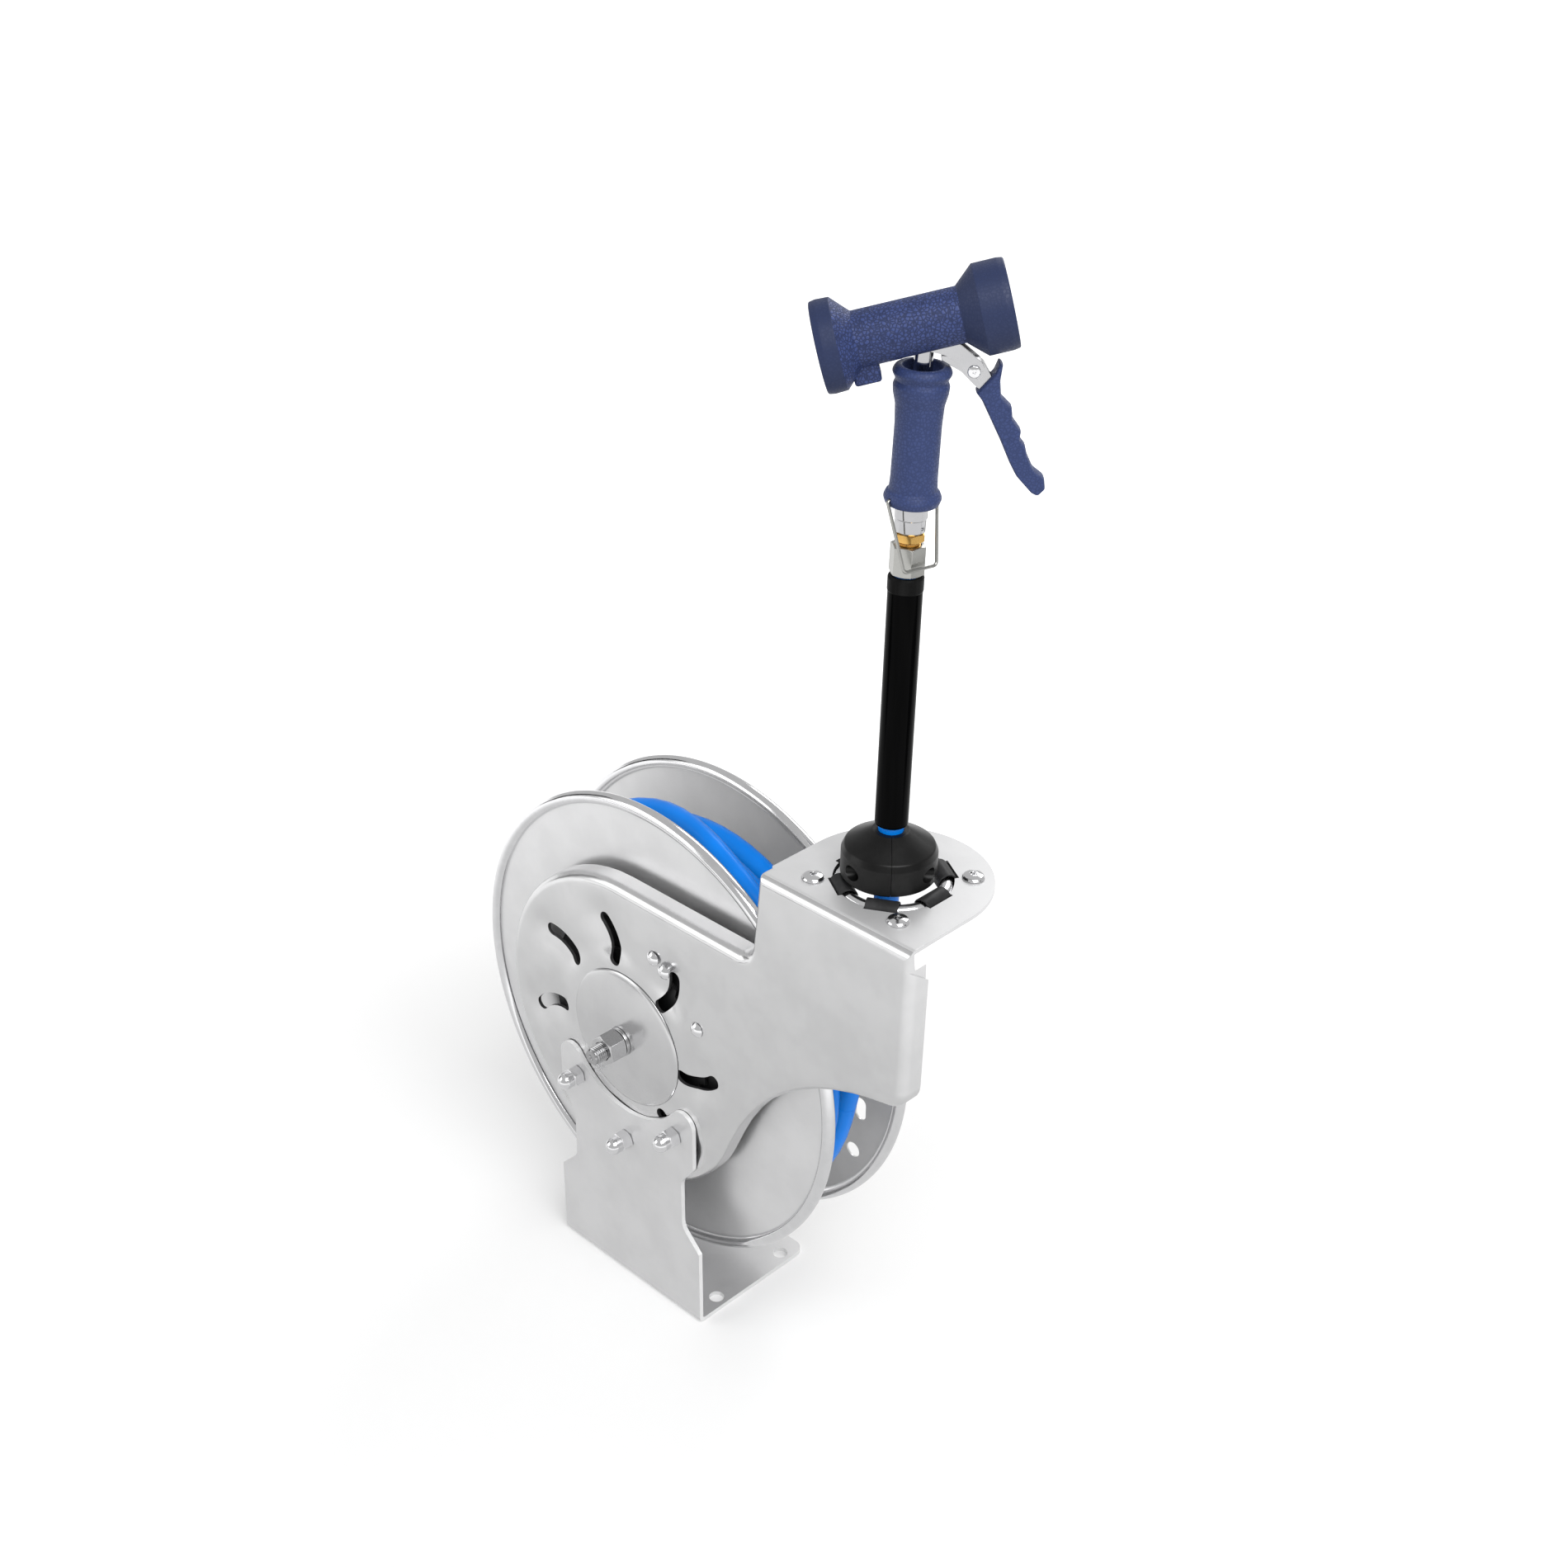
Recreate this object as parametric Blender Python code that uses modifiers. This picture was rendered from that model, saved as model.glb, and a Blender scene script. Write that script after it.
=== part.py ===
"""Open spring-rewind hose reel on an L bracket, with a ring hose guide and a wash-down gun.

Metres. The front is -Y, the guide arm reaches to +X, and the foot's underside is at Z = 0.
"""

import math

import bmesh
import bpy
from mathutils import Matrix, Vector

# ---------------------------------------------------------------- driving dimensions
GAP = 0.0003  # between pieces that touch
RUNNING = 0.0003  # radial clearance of a turning fit
SAGITTA = 0.0010  # of the flats that stand for an outline's arcs

AXLE_Z = 0.2583  # axle height above the floor
FLANGE_R = 0.210
RIM_BEAD_R = 0.0055
FLANGE_T = 0.0015
NEAR_FLANGE_Y = -0.0325  # middle of the near flange's sheet
SPOOL_WIDTH = 0.0849  # between the two flange sheets
BOSS_R = 0.040
BOSS_DEPTH = 0.0125
FAR_SLOT_REACH, FAR_SLOT_ANGLE = 0.1695, math.radians(-17)  # slot in the far flange
FAR_SLOT_HALF, FAR_SLOT_R = 0.011, 0.0057
FAR_HOLE_REACH, FAR_HOLE_ANGLE = 0.1825, math.radians(-32)
FAR_HOLE_R = 0.007

HOSE_R = 0.0095  # half-inch hose
DRUM_R = 0.098
DRUM_WALL = 0.002
LAYER_STEP = 0.0165  # nested layers
BURIED_LAYERS = 4
WOUND_TURNS = 2.6  # turns of the outer layer
TURN_STEP = 0.021  # along the axle, from one turn to the next
CROSSING_END = math.radians(110)  # each turn steps over in one place
CROSSING_SPAN = math.radians(55)
LEAVE_Y = 0.021  # where the hose leaves the outer layer
LOOP_POINTS = 24

BRACKET_HALF = 0.0885
BRACKET_T = 0.004
BRACKET_FRONT_Y = -0.066
FOOT_DEPTH = 0.132
FOOT_CORNER_R = 0.011
BEND_R = 0.006
BLOCK_TOP = 0.077  # top of the bracket's wide lower part
WAIST_HALF = 0.068
WAIST_LOW, WAIST_HIGH = 0.095, 0.146
HORN_HALF = 0.0835
HORN_FOOT = 0.166
HORN_TIP_R = 0.0135
CRADLE_R = 0.074  # the bracket's arc round the hub
CRADLE_END = math.radians(-38)
FOOT_HOLE_R = 0.0066
FOOT_HOLE_X = 0.0777
FOOT_HOLE_Y = (-0.0355, 0.0445)

ARM_T = 0.003
ARM_DEPTH = 0.0197  # face to the flanged edge's back
ARM_ROLL = 0.008
ARM_DISC = (-0.007, 0.0035)  # disc's centre from the axle, x and z
ARM_DISC_R = 0.1425
GUIDE_RISE = 0.2272  # top plate above the axle
ARM_END_OUT = 0.0035  # the arm goes this far past the guide plate
ARM_END_TAPER = 0.004
ARM_FOOT_Z = 0.0866  # lower corner of the arm's outer end, from the axle
ARM_FOOT_R = 0.019
ARM_HEEL_END = math.radians(292)  # where the disc's edge leaves the disc
ARM_HEEL_REACH = 0.047  # from there to the heel's corner
ARM_WAIST_XZ = (0.165, 0.0572)  # corner of the long hollow under the arm
ARM_WAIST_R = 0.215
NOTCH_DROP = 0.0155  # relief between the top plate and the arm's end, at the face
NOTCH_FALL = 0.0150  # lower still at the flanged edge's back
SLOT_CENTRE = (-0.0078, -0.0018)
SLOT_ANGLES = [math.radians(a) for a in (3.6, 53.3, 99.3, 143.5, 191.2, 233, 275, 317)]
SLOT_IN_R, SLOT_OUT_R = 0.0745, 0.1092
SLOT_HALF_W = 0.0047
SLOT_SAG = 0.0042
SLOT_TWIST = math.radians(6.2)
DIMPLE_DEPTH = 0.0028
DIMPLE_SPREAD = 0.0125
DIMPLE_EASE = 0.016  # the dimples fade out over this width, at the rim and at the cradle
DIMPLE_GRID = 0.0263

RING_X, RING_Y = 0.2288, 0.0065
GUIDE_HALF = 0.0752
RING_R = 0.0396
ROD_R = 0.0053
RING_DROP = 0.0045  # ring's centre below the top plate's top
ROLLER_R = 0.008
ROLLER_L = 0.0245
ROLLER_COUNT = 6
ROLLER_SPACE = 0.0004
RETAINER_R = 0.065
RETAINER_T = 0.0025
GUIDE_SCREW_XY = 0.0420
GUIDE_SCREW_R = 0.0025
GUIDE_HEAD_R = 0.0087
GUIDE_HEAD_H = 0.0036

HUB_DISH_R = 0.0632
HUB_DISH_RISE = 0.0055
HUB_DISH_T = 0.0015
THREAD_R = 0.008
JOURNAL_R = 0.0125
SPIGOT_R = 0.009
AXLE_OUT = 0.0325  # axle's threaded end beyond the dish
NUT_AF = 0.0246
NUT_H = 0.0170
WASHER_R = 0.0138
WASHER_T = 0.0030
BUSH_WALL = 0.0042
STUD_XZ = ((-0.0605, -0.0675), (0.0, -0.1043), (0.0605, -0.0675))
STUD_R = 0.004
STUD_OUT = 0.0075
CAP_AF = 0.0152
RIVET_XZ = ((0.036, 0.0965), (0.0485, 0.0894), (0.0861, 0.0517))
RIVET_HEAD_R = 0.0062
RIVET_R = 0.003

CASE_R = 0.108
CASE_WALL = 0.0015
CASE_DEPTH = 0.0144
CASE_LIP = 0.006
SPRING_TURNS = 4
SPRING_T = 0.0014
SPRING_EDGE = 0.0016  # between the spring's strip and the case's front and back
RATCHET_R = 0.084
RATCHET_T = 0.003
RATCHET_TEETH = 12
TOOTH_DEPTH = 0.006
PAWL_T = 0.0026
PAWL_TIP_ANGLE = math.radians(77)
PAWL_LIFT = math.radians(14)

SWIVEL_R = 0.019
SWIVEL_L = 0.025
GOOSE_R = 0.0062
GOOSE_REACH = 0.062
GOOSE_ANGLE = math.radians(205)
INLET_R = 0.0108
INLET_BORE_R = 0.0062
INLET_DROP = 0.046

VIEW_TURN = math.radians(44.1)  # the gun's plane, turned from +X
STOP_R = 0.036
STOP_WALL_H = 0.0235
STOP_H = 0.0375
STOP_REST = 0.0013  # between the rollers' tops and the leaning stop's middle
STOP_SHIFT = -0.0039  # of the stop from the ring's centre, in the gun's plane
STOP_LEAN = math.radians(1.2)
CLAMP_SCREW_Y = 0.0215
CLAMP_SCREW_R = 0.003
CLAMP_HEAD_R = 0.005
SLEEVE_R = 0.0128
SLEEVE_LOW = 0.0055  # sleeve's lower end above the stop
SLEEVE_L = 0.1965
BAND_L = 0.011

GUN_LEAN = math.radians(1.1)  # from the hose's line
FERRULE_AF = 0.022
FERRULE_L = 0.0217
NIPPLE_R = 0.0085
NIPPLE_AF = 0.0195
NIPPLE_HEX_L = 0.006
NIPPLE_SHOWS = 0.003
COLLAR_R = 0.0114
COLLAR_L = 0.0232
GRIP_R = 0.0159
GRIP_L = 0.097
GRIP_RIM_R = 0.0197
HANDLE_R = 0.011
STEM_R = 0.0065
BARREL_RISE = 0.1757
BARREL_TILT = math.radians(16.5)
BARREL_R = 0.0185
BARREL_CORE_R = 0.0122
BARREL_FRONT, BARREL_REAR = 0.056, 0.0715
BUMPER_FRONT_R, BUMPER_REAR_R = 0.0298, 0.0308
TRIGGER_X, TRIGGER_Z = 0.0329, 0.1469
TRIGGER_W = 0.0158
LEVER_REACH = 0.0700  # pivot down to the lever's tip
LEVER_ARM_RISE = 0.129  # top of the arm over the pivot, as a share of the reach
LEVER_W = 0.0088
EAR_T = 0.002
PIN_R = 0.0022
VALVE_ROD_R = 0.0025
VALVE_ROD_X = 0.0135
VALVE_ROD_L = 0.0145
BAIL_WIRE_R = 0.00125
BAIL_TURN = math.radians(35)
BAIL_L = 0.050
BAIL_BAR_HALF = 0.0138
BAIL_SWING = math.radians(17.0)
BAIL_RISE = 0.0570

# ---------------------------------------------------------------- derived places
ARM_FACE_Y = BRACKET_FRONT_Y + BRACKET_T + GAP
ARM_INNER_Y = ARM_FACE_Y + ARM_T
ARM_BACK_Y = ARM_FACE_Y + ARM_DEPTH
ARM_END_X = RING_X + GUIDE_HALF + ARM_END_OUT
FAR_FLANGE_Y = NEAR_FLANGE_Y + SPOOL_WIDTH + FLANGE_T
SPOOL_NEAR_Y = NEAR_FLANGE_Y + FLANGE_T / 2
SPOOL_FAR_Y = FAR_FLANGE_Y - FLANGE_T / 2
WIND_R = DRUM_R + HOSE_R + GAP + BURIED_LAYERS * LAYER_STEP
PLATE_TOP_Z = AXLE_Z + GUIDE_RISE
PLATE_LOW_Z = PLATE_TOP_Z - ARM_T
RING_Z = PLATE_TOP_Z - RING_DROP
STOP_Z = RING_Z + ROLLER_R + STOP_REST
SLEEVE_Z = STOP_Z + STOP_H + SLEEVE_LOW
SLEEVE_TOP_Z = SLEEVE_Z + SLEEVE_L
DISH_BACK_Y = ARM_FACE_Y - GAP
DISH_TOP_Y = DISH_BACK_Y - HUB_DISH_T - HUB_DISH_RISE
CASE_BACK_Y = NEAR_FLANGE_Y - FLANGE_T / 2 - GAP
CASE_FRONT_Y = CASE_BACK_Y - CASE_DEPTH
RATCHET_BACK_Y = CASE_FRONT_Y - GAP
RATCHET_FRONT_Y = RATCHET_BACK_Y - RATCHET_T
HUB_BORE_R = JOURNAL_R + RUNNING + BUSH_WALL + GAP
SHOULDER_Y = ARM_INNER_Y + GAP
JOURNAL_END_Y = FAR_FLANGE_Y + 0.007
SWIVEL_Y = JOURNAL_END_Y + 0.0015
SPIGOT_END_Y = SWIVEL_Y + SWIVEL_L + 0.009
HEX_TO_CORNER = 1 / math.cos(math.radians(30))
# Each straight roller hangs on the curved rod: its axis is halfway into the rod's curve.
ROLLER_CHORD = math.sqrt(RING_R**2 - (ROLLER_L / 2) ** 2)
ROLLER_REACH = (RING_R + ROLLER_CHORD) / 2
ROLLER_BORE_R = ROD_R * RING_R / ROLLER_CHORD + (RING_R - ROLLER_CHORD) / 2 + RUNNING
RING_REACH = RING_R + ROD_R
RETAINER_FRONT = ARM_FACE_Y + ARM_ROLL + GAP - RING_Y  # where the arm's roll ends

# ---------------------------------------------------------------- finishes
FINISHES = {
    "steel": ((0.62, 0.62, 0.63), 0.32, 1.0),
    "polished": ((0.80, 0.80, 0.81), 0.12, 1.0),
    "black_steel": ((0.012, 0.012, 0.013), 0.45, 0.0),
    "spring_steel": ((0.30, 0.30, 0.32), 0.35, 1.0),
    "brass": ((0.72, 0.50, 0.18), 0.22, 1.0),
    "bronze": ((0.45, 0.30, 0.15), 0.35, 1.0),
    "blue_hose": ((0.000, 0.190, 0.780), 0.35, 0.0),
    "black_plastic": ((0.013, 0.013, 0.012), 0.55, 0.0),
    "black_sleeve": ((0.008, 0.008, 0.009), 0.18, 0.0),
    "navy_rubber": ((0.030, 0.048, 0.170), 0.55, 0.0),
}


def finish_material(name, slot):
    """The piece's own material, with its finish's values."""
    colour, roughness, metallic = FINISHES[slot]
    material = bpy.data.materials.new(name)
    material.use_nodes = True
    shader = material.node_tree.nodes["Principled BSDF"]
    shader.inputs["Base Color"].default_value = (*colour, 1)
    shader.inputs["Roughness"].default_value = roughness
    shader.inputs["Metallic"].default_value = metallic
    material.diffuse_color = (*colour, 1)
    return material


# ---------------------------------------------------------------- frames and objects
def frame(name, matrix, parent=None):
    """An empty whose axes pieces are modelled in. matrix is relative to the parent."""
    empty = bpy.data.objects.new(name, None)
    empty.empty_display_size = 0.03
    PARTS.objects.link(empty)
    empty.parent = parent
    empty.matrix_local = matrix
    bpy.context.view_layer.update()
    return empty


def add_object(name, data, base, slot=None, at=(0, 0, 0), turn=None):
    """A piece with a finish or, without one, a hidden cutting tool."""
    item = bpy.data.objects.new(name, data)
    (PARTS if slot else CUTTERS).objects.link(item)
    item.parent = base
    item.matrix_local = Matrix.Translation(at) @ (turn or Matrix.Identity(4))
    if slot:
        data.materials.append(finish_material(name, slot))
    else:
        item.hide_render = True
        item.display_type = "WIRE"
    return item


def turned(name, profile, base, slot=None, segments=40, at=(0, 0, 0), turn=None):
    """A body of revolution about the frame's Z, from (radius, height) points in either order."""
    count = len(profile)
    area = sum(
        profile[i][0] * profile[(i + 1) % count][1] - profile[(i + 1) % count][0] * profile[i][1]
        for i in range(count)
    )
    points = profile if area < 0 else profile[::-1]
    ring = all(radius > 0 for radius, height in points)
    if not ring:
        start = next(i for i in range(count) if points[i][0] == 0 == points[i - 1][0])
        points = points[start:] + points[:start]
    mesh = bpy.data.meshes.new(name)
    edges = [(i, i + 1) for i in range(count - 1)] + ([(count - 1, 0)] if ring else [])
    mesh.from_pydata([(radius, 0, height) for radius, height in points], edges, [])
    item = add_object(name, mesh, base, slot, at, turn)
    screw = item.modifiers.new("turn", "SCREW")
    screw.steps = screw.render_steps = segments
    screw.use_merge_vertices = True
    screw.merge_threshold = 0.00001
    return item


def cylinder(name, radius, low, high, base, slot=None, segments=24, at=(0, 0, 0), turn=None):
    mesh = bpy.data.meshes.new(name)
    shape = bmesh.new()
    bmesh.ops.create_cone(
        shape, cap_ends=True, segments=segments, radius1=radius, radius2=radius, depth=high - low
    )
    bmesh.ops.translate(shape, verts=shape.verts, vec=(0, 0, (low + high) / 2))
    shape.to_mesh(mesh)
    shape.free()
    return add_object(name, mesh, base, slot, at, turn)


def box(name, low, high, base, slot=None, turn=None):
    mesh = bpy.data.meshes.new(name)
    shape = bmesh.new()
    bmesh.ops.create_cube(shape, size=1)
    size = Vector(high) - Vector(low)
    bmesh.ops.scale(shape, verts=shape.verts, vec=size)
    bmesh.ops.translate(shape, verts=shape.verts, vec=(Vector(low) + Vector(high)) / 2)
    shape.to_mesh(mesh)
    shape.free()
    item = add_object(name, mesh, base, slot)
    if turn:
        item.matrix_local = turn
    return item


def plate(name, outline, low, high, base, slot=None, turn=None):
    """A flat outline in the frame's XY plane, as thick as low to high along Z."""
    curve = bpy.data.curves.new(name, "CURVE")
    curve.dimensions = "2D"
    curve.fill_mode = "BOTH"
    curve.extrude = (high - low) / 2
    spline = curve.splines.new("POLY")
    spline.points.add(len(outline) - 1)
    for point, (x, y) in zip(spline.points, outline):
        point.co = (x, y, 0, 1)
    spline.use_cyclic_u = True
    at = Vector((0, 0, (low + high) / 2))
    turn = turn or Matrix.Identity(4)
    return to_mesh(add_object(name, curve, base, slot, turn @ at, turn))


def tube(name, path, radius, base, slot=None, resolution=2, closed=False):
    curve = bpy.data.curves.new(name, "CURVE")
    curve.dimensions = "3D"
    curve.bevel_depth = radius
    curve.bevel_resolution = resolution
    curve.use_fill_caps = not closed
    curve.twist_mode = "MINIMUM"
    spline = curve.splines.new("POLY")
    spline.points.add(len(path) - 1)
    for point, place in zip(spline.points, path):
        point.co = (*place, 1)
    spline.use_cyclic_u = closed
    return to_mesh(add_object(name, curve, base, slot))


def to_mesh(item):
    """The curve object as a mesh object with its caps welded, in the same place."""
    bpy.context.view_layer.update()
    graph = bpy.context.evaluated_depsgraph_get()
    mesh = bpy.data.meshes.new_from_object(item.evaluated_get(graph))
    shape = bmesh.new()
    shape.from_mesh(mesh)
    bmesh.ops.remove_doubles(shape, verts=shape.verts, dist=0.000001)
    bmesh.ops.recalc_face_normals(shape, faces=shape.faces)
    shape.to_mesh(mesh)
    shape.free()
    return swapped(item, mesh)


def swapped(item, mesh):
    """A new object of this mesh in the item's place, under its name."""
    name, base, local = item.name, item.parent, item.matrix_local.copy()
    hidden, holder = item.hide_render, item.users_collection[0]
    bpy.data.objects.remove(item)
    fresh = bpy.data.objects.new(name, mesh)
    holder.objects.link(fresh)
    fresh.parent = base
    fresh.matrix_local = local
    fresh.hide_render = hidden
    fresh.display_type = "WIRE" if hidden else "TEXTURED"
    return fresh


def combine(item, tools, operation="DIFFERENCE"):
    for tool in tools:
        step = item.modifiers.new(tool.name, "BOOLEAN")
        step.operation = operation
        step.object = tool
    return item


def settled(item):
    """The item with its modifiers applied."""
    bpy.context.view_layer.update()
    graph = bpy.context.evaluated_depsgraph_get()
    return swapped(item, bpy.data.meshes.new_from_object(item.evaluated_get(graph)))


def smooth(item):
    item.data.shade_smooth()
    item.data.set_sharp_from_angle(angle=math.radians(35))
    return item


# ---------------------------------------------------------------- outlines
def arc_corners(x, y, radius, start, end, count):
    """Corners whose fillets join into one arc about (x, y)."""
    half = (end - start) / (2 * count)
    reach = radius / math.cos(half)
    angles = [start + (2 * i + 1) * half for i in range(count)]
    return [(x + reach * math.cos(a), y + reach * math.sin(a), radius, i > 0) for i, a in enumerate(angles)]


def outline(corners, inset=0.0):
    """Points of a filleted polygon, counterclockwise, moved inwards by the inset.

    A corner is (x, y, fillet radius) and, where its fillet goes on from the last one, True.
    """
    places = [Vector(corner[:2]) for corner in corners]
    count = len(places)
    points = []
    for i, corner in enumerate(corners):
        into = (places[i] - places[i - 1]).normalized()
        out = (places[(i + 1) % count] - places[i]).normalized()
        turn = into.angle_signed(out) * -1
        left_in, left_out = Vector((-into.y, into.x)), Vector((-out.y, out.x))
        place = places[i] + inset * (left_in + left_out) / (1 + left_in.dot(left_out))
        side = 1 if turn > 0 else -1
        radius = max(corner[2] - side * inset, 0.0002)
        steps = max(2, math.ceil(abs(turn) / (2 * math.acos(1 - SAGITTA / max(corner[2], 0.0016)))))
        start = place - into * radius * math.tan(abs(turn) / 2)
        centre = start + side * radius * left_in
        spoke = start - centre
        joined = len(corner) > 3 and corner[3]
        for step in range(1 if joined else 0, steps + 1):
            angle = turn * step / steps
            c, s = math.cos(angle), math.sin(angle)
            points.append((centre.x + c * spoke.x - s * spoke.y, centre.y + s * spoke.x + c * spoke.y))
    return points


def pan(name, outer, inner, base, slot):
    """A tray: outer loops from its edge to its face, then inner loops back to its edge."""
    shape = bmesh.new()
    rows = [[shape.verts.new(point) for point in loop] for loop in outer + inner]
    face = len(outer) - 1
    for row in range(-1, len(rows) - 1):
        if row == face:
            continue
        near, far = rows[row], rows[row + 1]
        for i in range(len(near)):
            shape.faces.new((near[i - 1], near[i], far[i], far[i - 1]))
    shape.faces.new(rows[face])
    shape.faces.new(rows[face + 1][::-1])
    bmesh.ops.recalc_face_normals(shape, faces=shape.faces)
    mesh = bpy.data.meshes.new(name)
    shape.to_mesh(mesh)
    shape.free()
    return add_object(name, mesh, base, slot)


def hexagon(across, low, high, chamfer=0.0):
    """Turned profile of a hexagon bar, for six segments. The chamfer is on its top and bottom."""
    corner = across / 2 * HEX_TO_CORNER
    top = [(0, high), (corner - chamfer, high), (corner, high - chamfer)]
    return top + [(corner, low + chamfer), (corner - chamfer, low), (0, low)]


def bead(radius, height, tube_radius, start, end, steps):
    """Arc points of a turned bead, in degrees about (radius, height)."""
    angles = [math.radians(start + (end - start) * i / steps) for i in range(steps + 1)]
    return [(radius + tube_radius * math.cos(a), height + tube_radius * math.sin(a)) for a in angles]


# ---------------------------------------------------------------- bracket
def bracket_corners():
    end = Vector((math.cos(CRADLE_END), math.sin(CRADLE_END))) * CRADLE_R
    along = Vector((-math.sin(CRADLE_END), math.cos(CRADLE_END)))
    tip_z = AXLE_Z + end.y + along.y * (HORN_HALF - end.x) / along.x
    block = BRACKET_HALF
    right = [
        (block, -0.02, 0.001),
        (block, BLOCK_TOP, 0.001),
        (WAIST_HALF, WAIST_LOW + 0.002, 0.016),
        (WAIST_HALF, WAIST_HIGH, 0.016),
        (HORN_HALF - 0.0005, HORN_FOOT, 0.006),
        (HORN_HALF, tip_z, HORN_TIP_R),
    ]
    cradle = arc_corners(0, AXLE_Z, CRADLE_R, CRADLE_END, math.pi - CRADLE_END - 2 * math.pi, 4)
    left = [(-x, z, radius) for x, z, radius in reversed(right)]
    return right + cradle + left


def build_bracket():
    """Foot and upright from one folded sheet, cut to its outline."""
    front, back = BRACKET_FRONT_Y, BRACKET_FRONT_Y + FOOT_DEPTH
    strip = [
        (front, 0, BEND_R),
        (back, 0, 0.0005),
        (back, BRACKET_T, 0.0005),
        (front + BRACKET_T, BRACKET_T, BEND_R - BRACKET_T),
        (front + BRACKET_T, AXLE_Z, 0.0005),
        (front, AXLE_Z, 0.0005),
    ]
    bracket = plate("base_bracket", outline(strip), -0.12, 0.12, WORLD, "steel", ACROSS)
    face = plate("cut_bracket_face", outline(bracket_corners()), -0.1, 0.1, WORLD, None, UPRIGHT)
    foot_corners = [
        (-BRACKET_HALF, front - 0.05, 0.001),
        (BRACKET_HALF, front - 0.05, 0.001),
        (BRACKET_HALF, back, FOOT_CORNER_R),
        (-BRACKET_HALF, back, FOOT_CORNER_R),
    ]
    foot = plate("cut_foot", outline(foot_corners), -0.01, 0.3, WORLD)
    combine(bracket, [face, foot], "INTERSECT")
    holes = [
        cylinder(f"cut_foot_hole_{i}{j}", FOOT_HOLE_R, -0.01, 0.02, WORLD, at=(x, y, 0), segments=20)
        for i, x in enumerate((-FOOT_HOLE_X, FOOT_HOLE_X))
        for j, y in enumerate(FOOT_HOLE_Y)
    ]
    holes += [
        cylinder(f"cut_stud_{i}", STUD_R + GAP, 0.05, 0.09, AXLE, at=(x, z, 0), segments=16)
        for i, (x, z) in enumerate(STUD_XZ)
    ]
    combine(bracket, holes)


def cap_nut(name, x, z):
    """Domed nut over the stud's end: a blind hole, a hexagon and a dome."""
    seat = -BRACKET_FRONT_Y + GAP
    corner = CAP_AF / 2 * HEX_TO_CORNER
    hexagonal = turned(name, hexagon(CAP_AF, seat, seat + 0.0075, 0.0008), AXLE, "polished", 6, (x, z, 0))
    dome_r = corner * 0.84
    dome = [(0, seat + 0.0065)] + [(dome_r, seat + 0.0065)]
    dome += [
        (dome_r * math.cos(math.radians(a)), seat + 0.009 + dome_r * math.sin(math.radians(a)))
        for a in (0, 30, 60)
    ]
    dome += [(0, seat + 0.009 + dome_r)]
    top = turned(f"add_{name}", dome, AXLE, None, 12, (x, z, 0))
    bore = cylinder(f"cut_{name}", STUD_R + GAP, 0, seat + STUD_OUT, AXLE, at=(x, z, 0), segments=12)
    combine(hexagonal, [top], "UNION")
    combine(hexagonal, [bore])


# ---------------------------------------------------------------- guide arm
def arm_corners():
    """The arm from the front: its outer end, shoulder, disc, heel and waist."""
    cx, cz = ARM_DISC
    start, end = math.radians(90), ARM_HEEL_END
    disc = arc_corners(cx, cz, ARM_DISC_R, start, end, 8)
    last = Vector((cx + ARM_DISC_R * math.cos(end), cz + ARM_DISC_R * math.sin(end)))
    along = Vector((-math.sin(end), math.cos(end)))
    heel = last + along * ARM_HEEL_REACH
    # The heel's fillet begins where the disc's edge ends.
    turn = along.angle(Vector(ARM_WAIST_XZ) - heel)
    heel_r = (ARM_HEEL_REACH - ARM_T / 4) / math.tan(turn / 2)
    return [
        (ARM_END_X - ARM_END_TAPER, ARM_FOOT_Z, ARM_FOOT_R),
        (ARM_END_X, GUIDE_RISE, 0.004),
        (RING_X - GUIDE_HALF, GUIDE_RISE, 0.004),
        (RING_X - GUIDE_HALF - 0.0085, cz + ARM_DISC_R, 0.014),
        *disc,
        (heel.x, heel.y, heel_r),
        (*ARM_WAIST_XZ, ARM_WAIST_R),
    ]


def swirl_slots():
    """(inner end, outer end, bulge) of each curved slot's centre line, from the axle."""
    centre = Vector(SLOT_CENTRE)
    slots = []
    for angle in SLOT_ANGLES:
        inner = centre + SLOT_IN_R * Vector((math.cos(angle - SLOT_TWIST), math.sin(angle - SLOT_TWIST)))
        outer = centre + SLOT_OUT_R * Vector((math.cos(angle), math.sin(angle)))
        along = (outer - inner).normalized()
        slots.append((inner, outer, (inner + outer) / 2 + SLOT_SAG * Vector((along.y, -along.x))))
    return slots


def slot_line(inner, outer, bulge, steps=4):
    """Points along the slot's centre, a parabola through its bulge."""
    control = 2 * bulge - (inner + outer) / 2
    shares = [i / steps for i in range(steps + 1)]
    return [(1 - t) ** 2 * inner + 2 * t * (1 - t) * control + t * t * outer for t in shares]


def slot_outline(inner, outer, bulge):
    line = slot_line(inner, outer, bulge)
    sides = []
    for i, point in enumerate(line):
        along = (line[min(i + 1, len(line) - 1)] - line[max(i - 1, 0)]).normalized()
        sides.append((point, along, Vector((-along.y, along.x))))
    left = [point + across * SLOT_HALF_W for point, along, across in sides]
    right = [point - across * SLOT_HALF_W for point, along, across in sides]
    head, foot = sides[-1], sides[0]
    cap = [math.radians(a) for a in (45, 0, -45)]
    top = [head[0] + SLOT_HALF_W * (math.cos(a) * head[1] + math.sin(a) * head[2]) for a in cap]
    low = [foot[0] - SLOT_HALF_W * (math.cos(a) * foot[1] + math.sin(a) * foot[2]) for a in cap]
    return [tuple(p) for p in left + top + right[::-1] + low]


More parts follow.
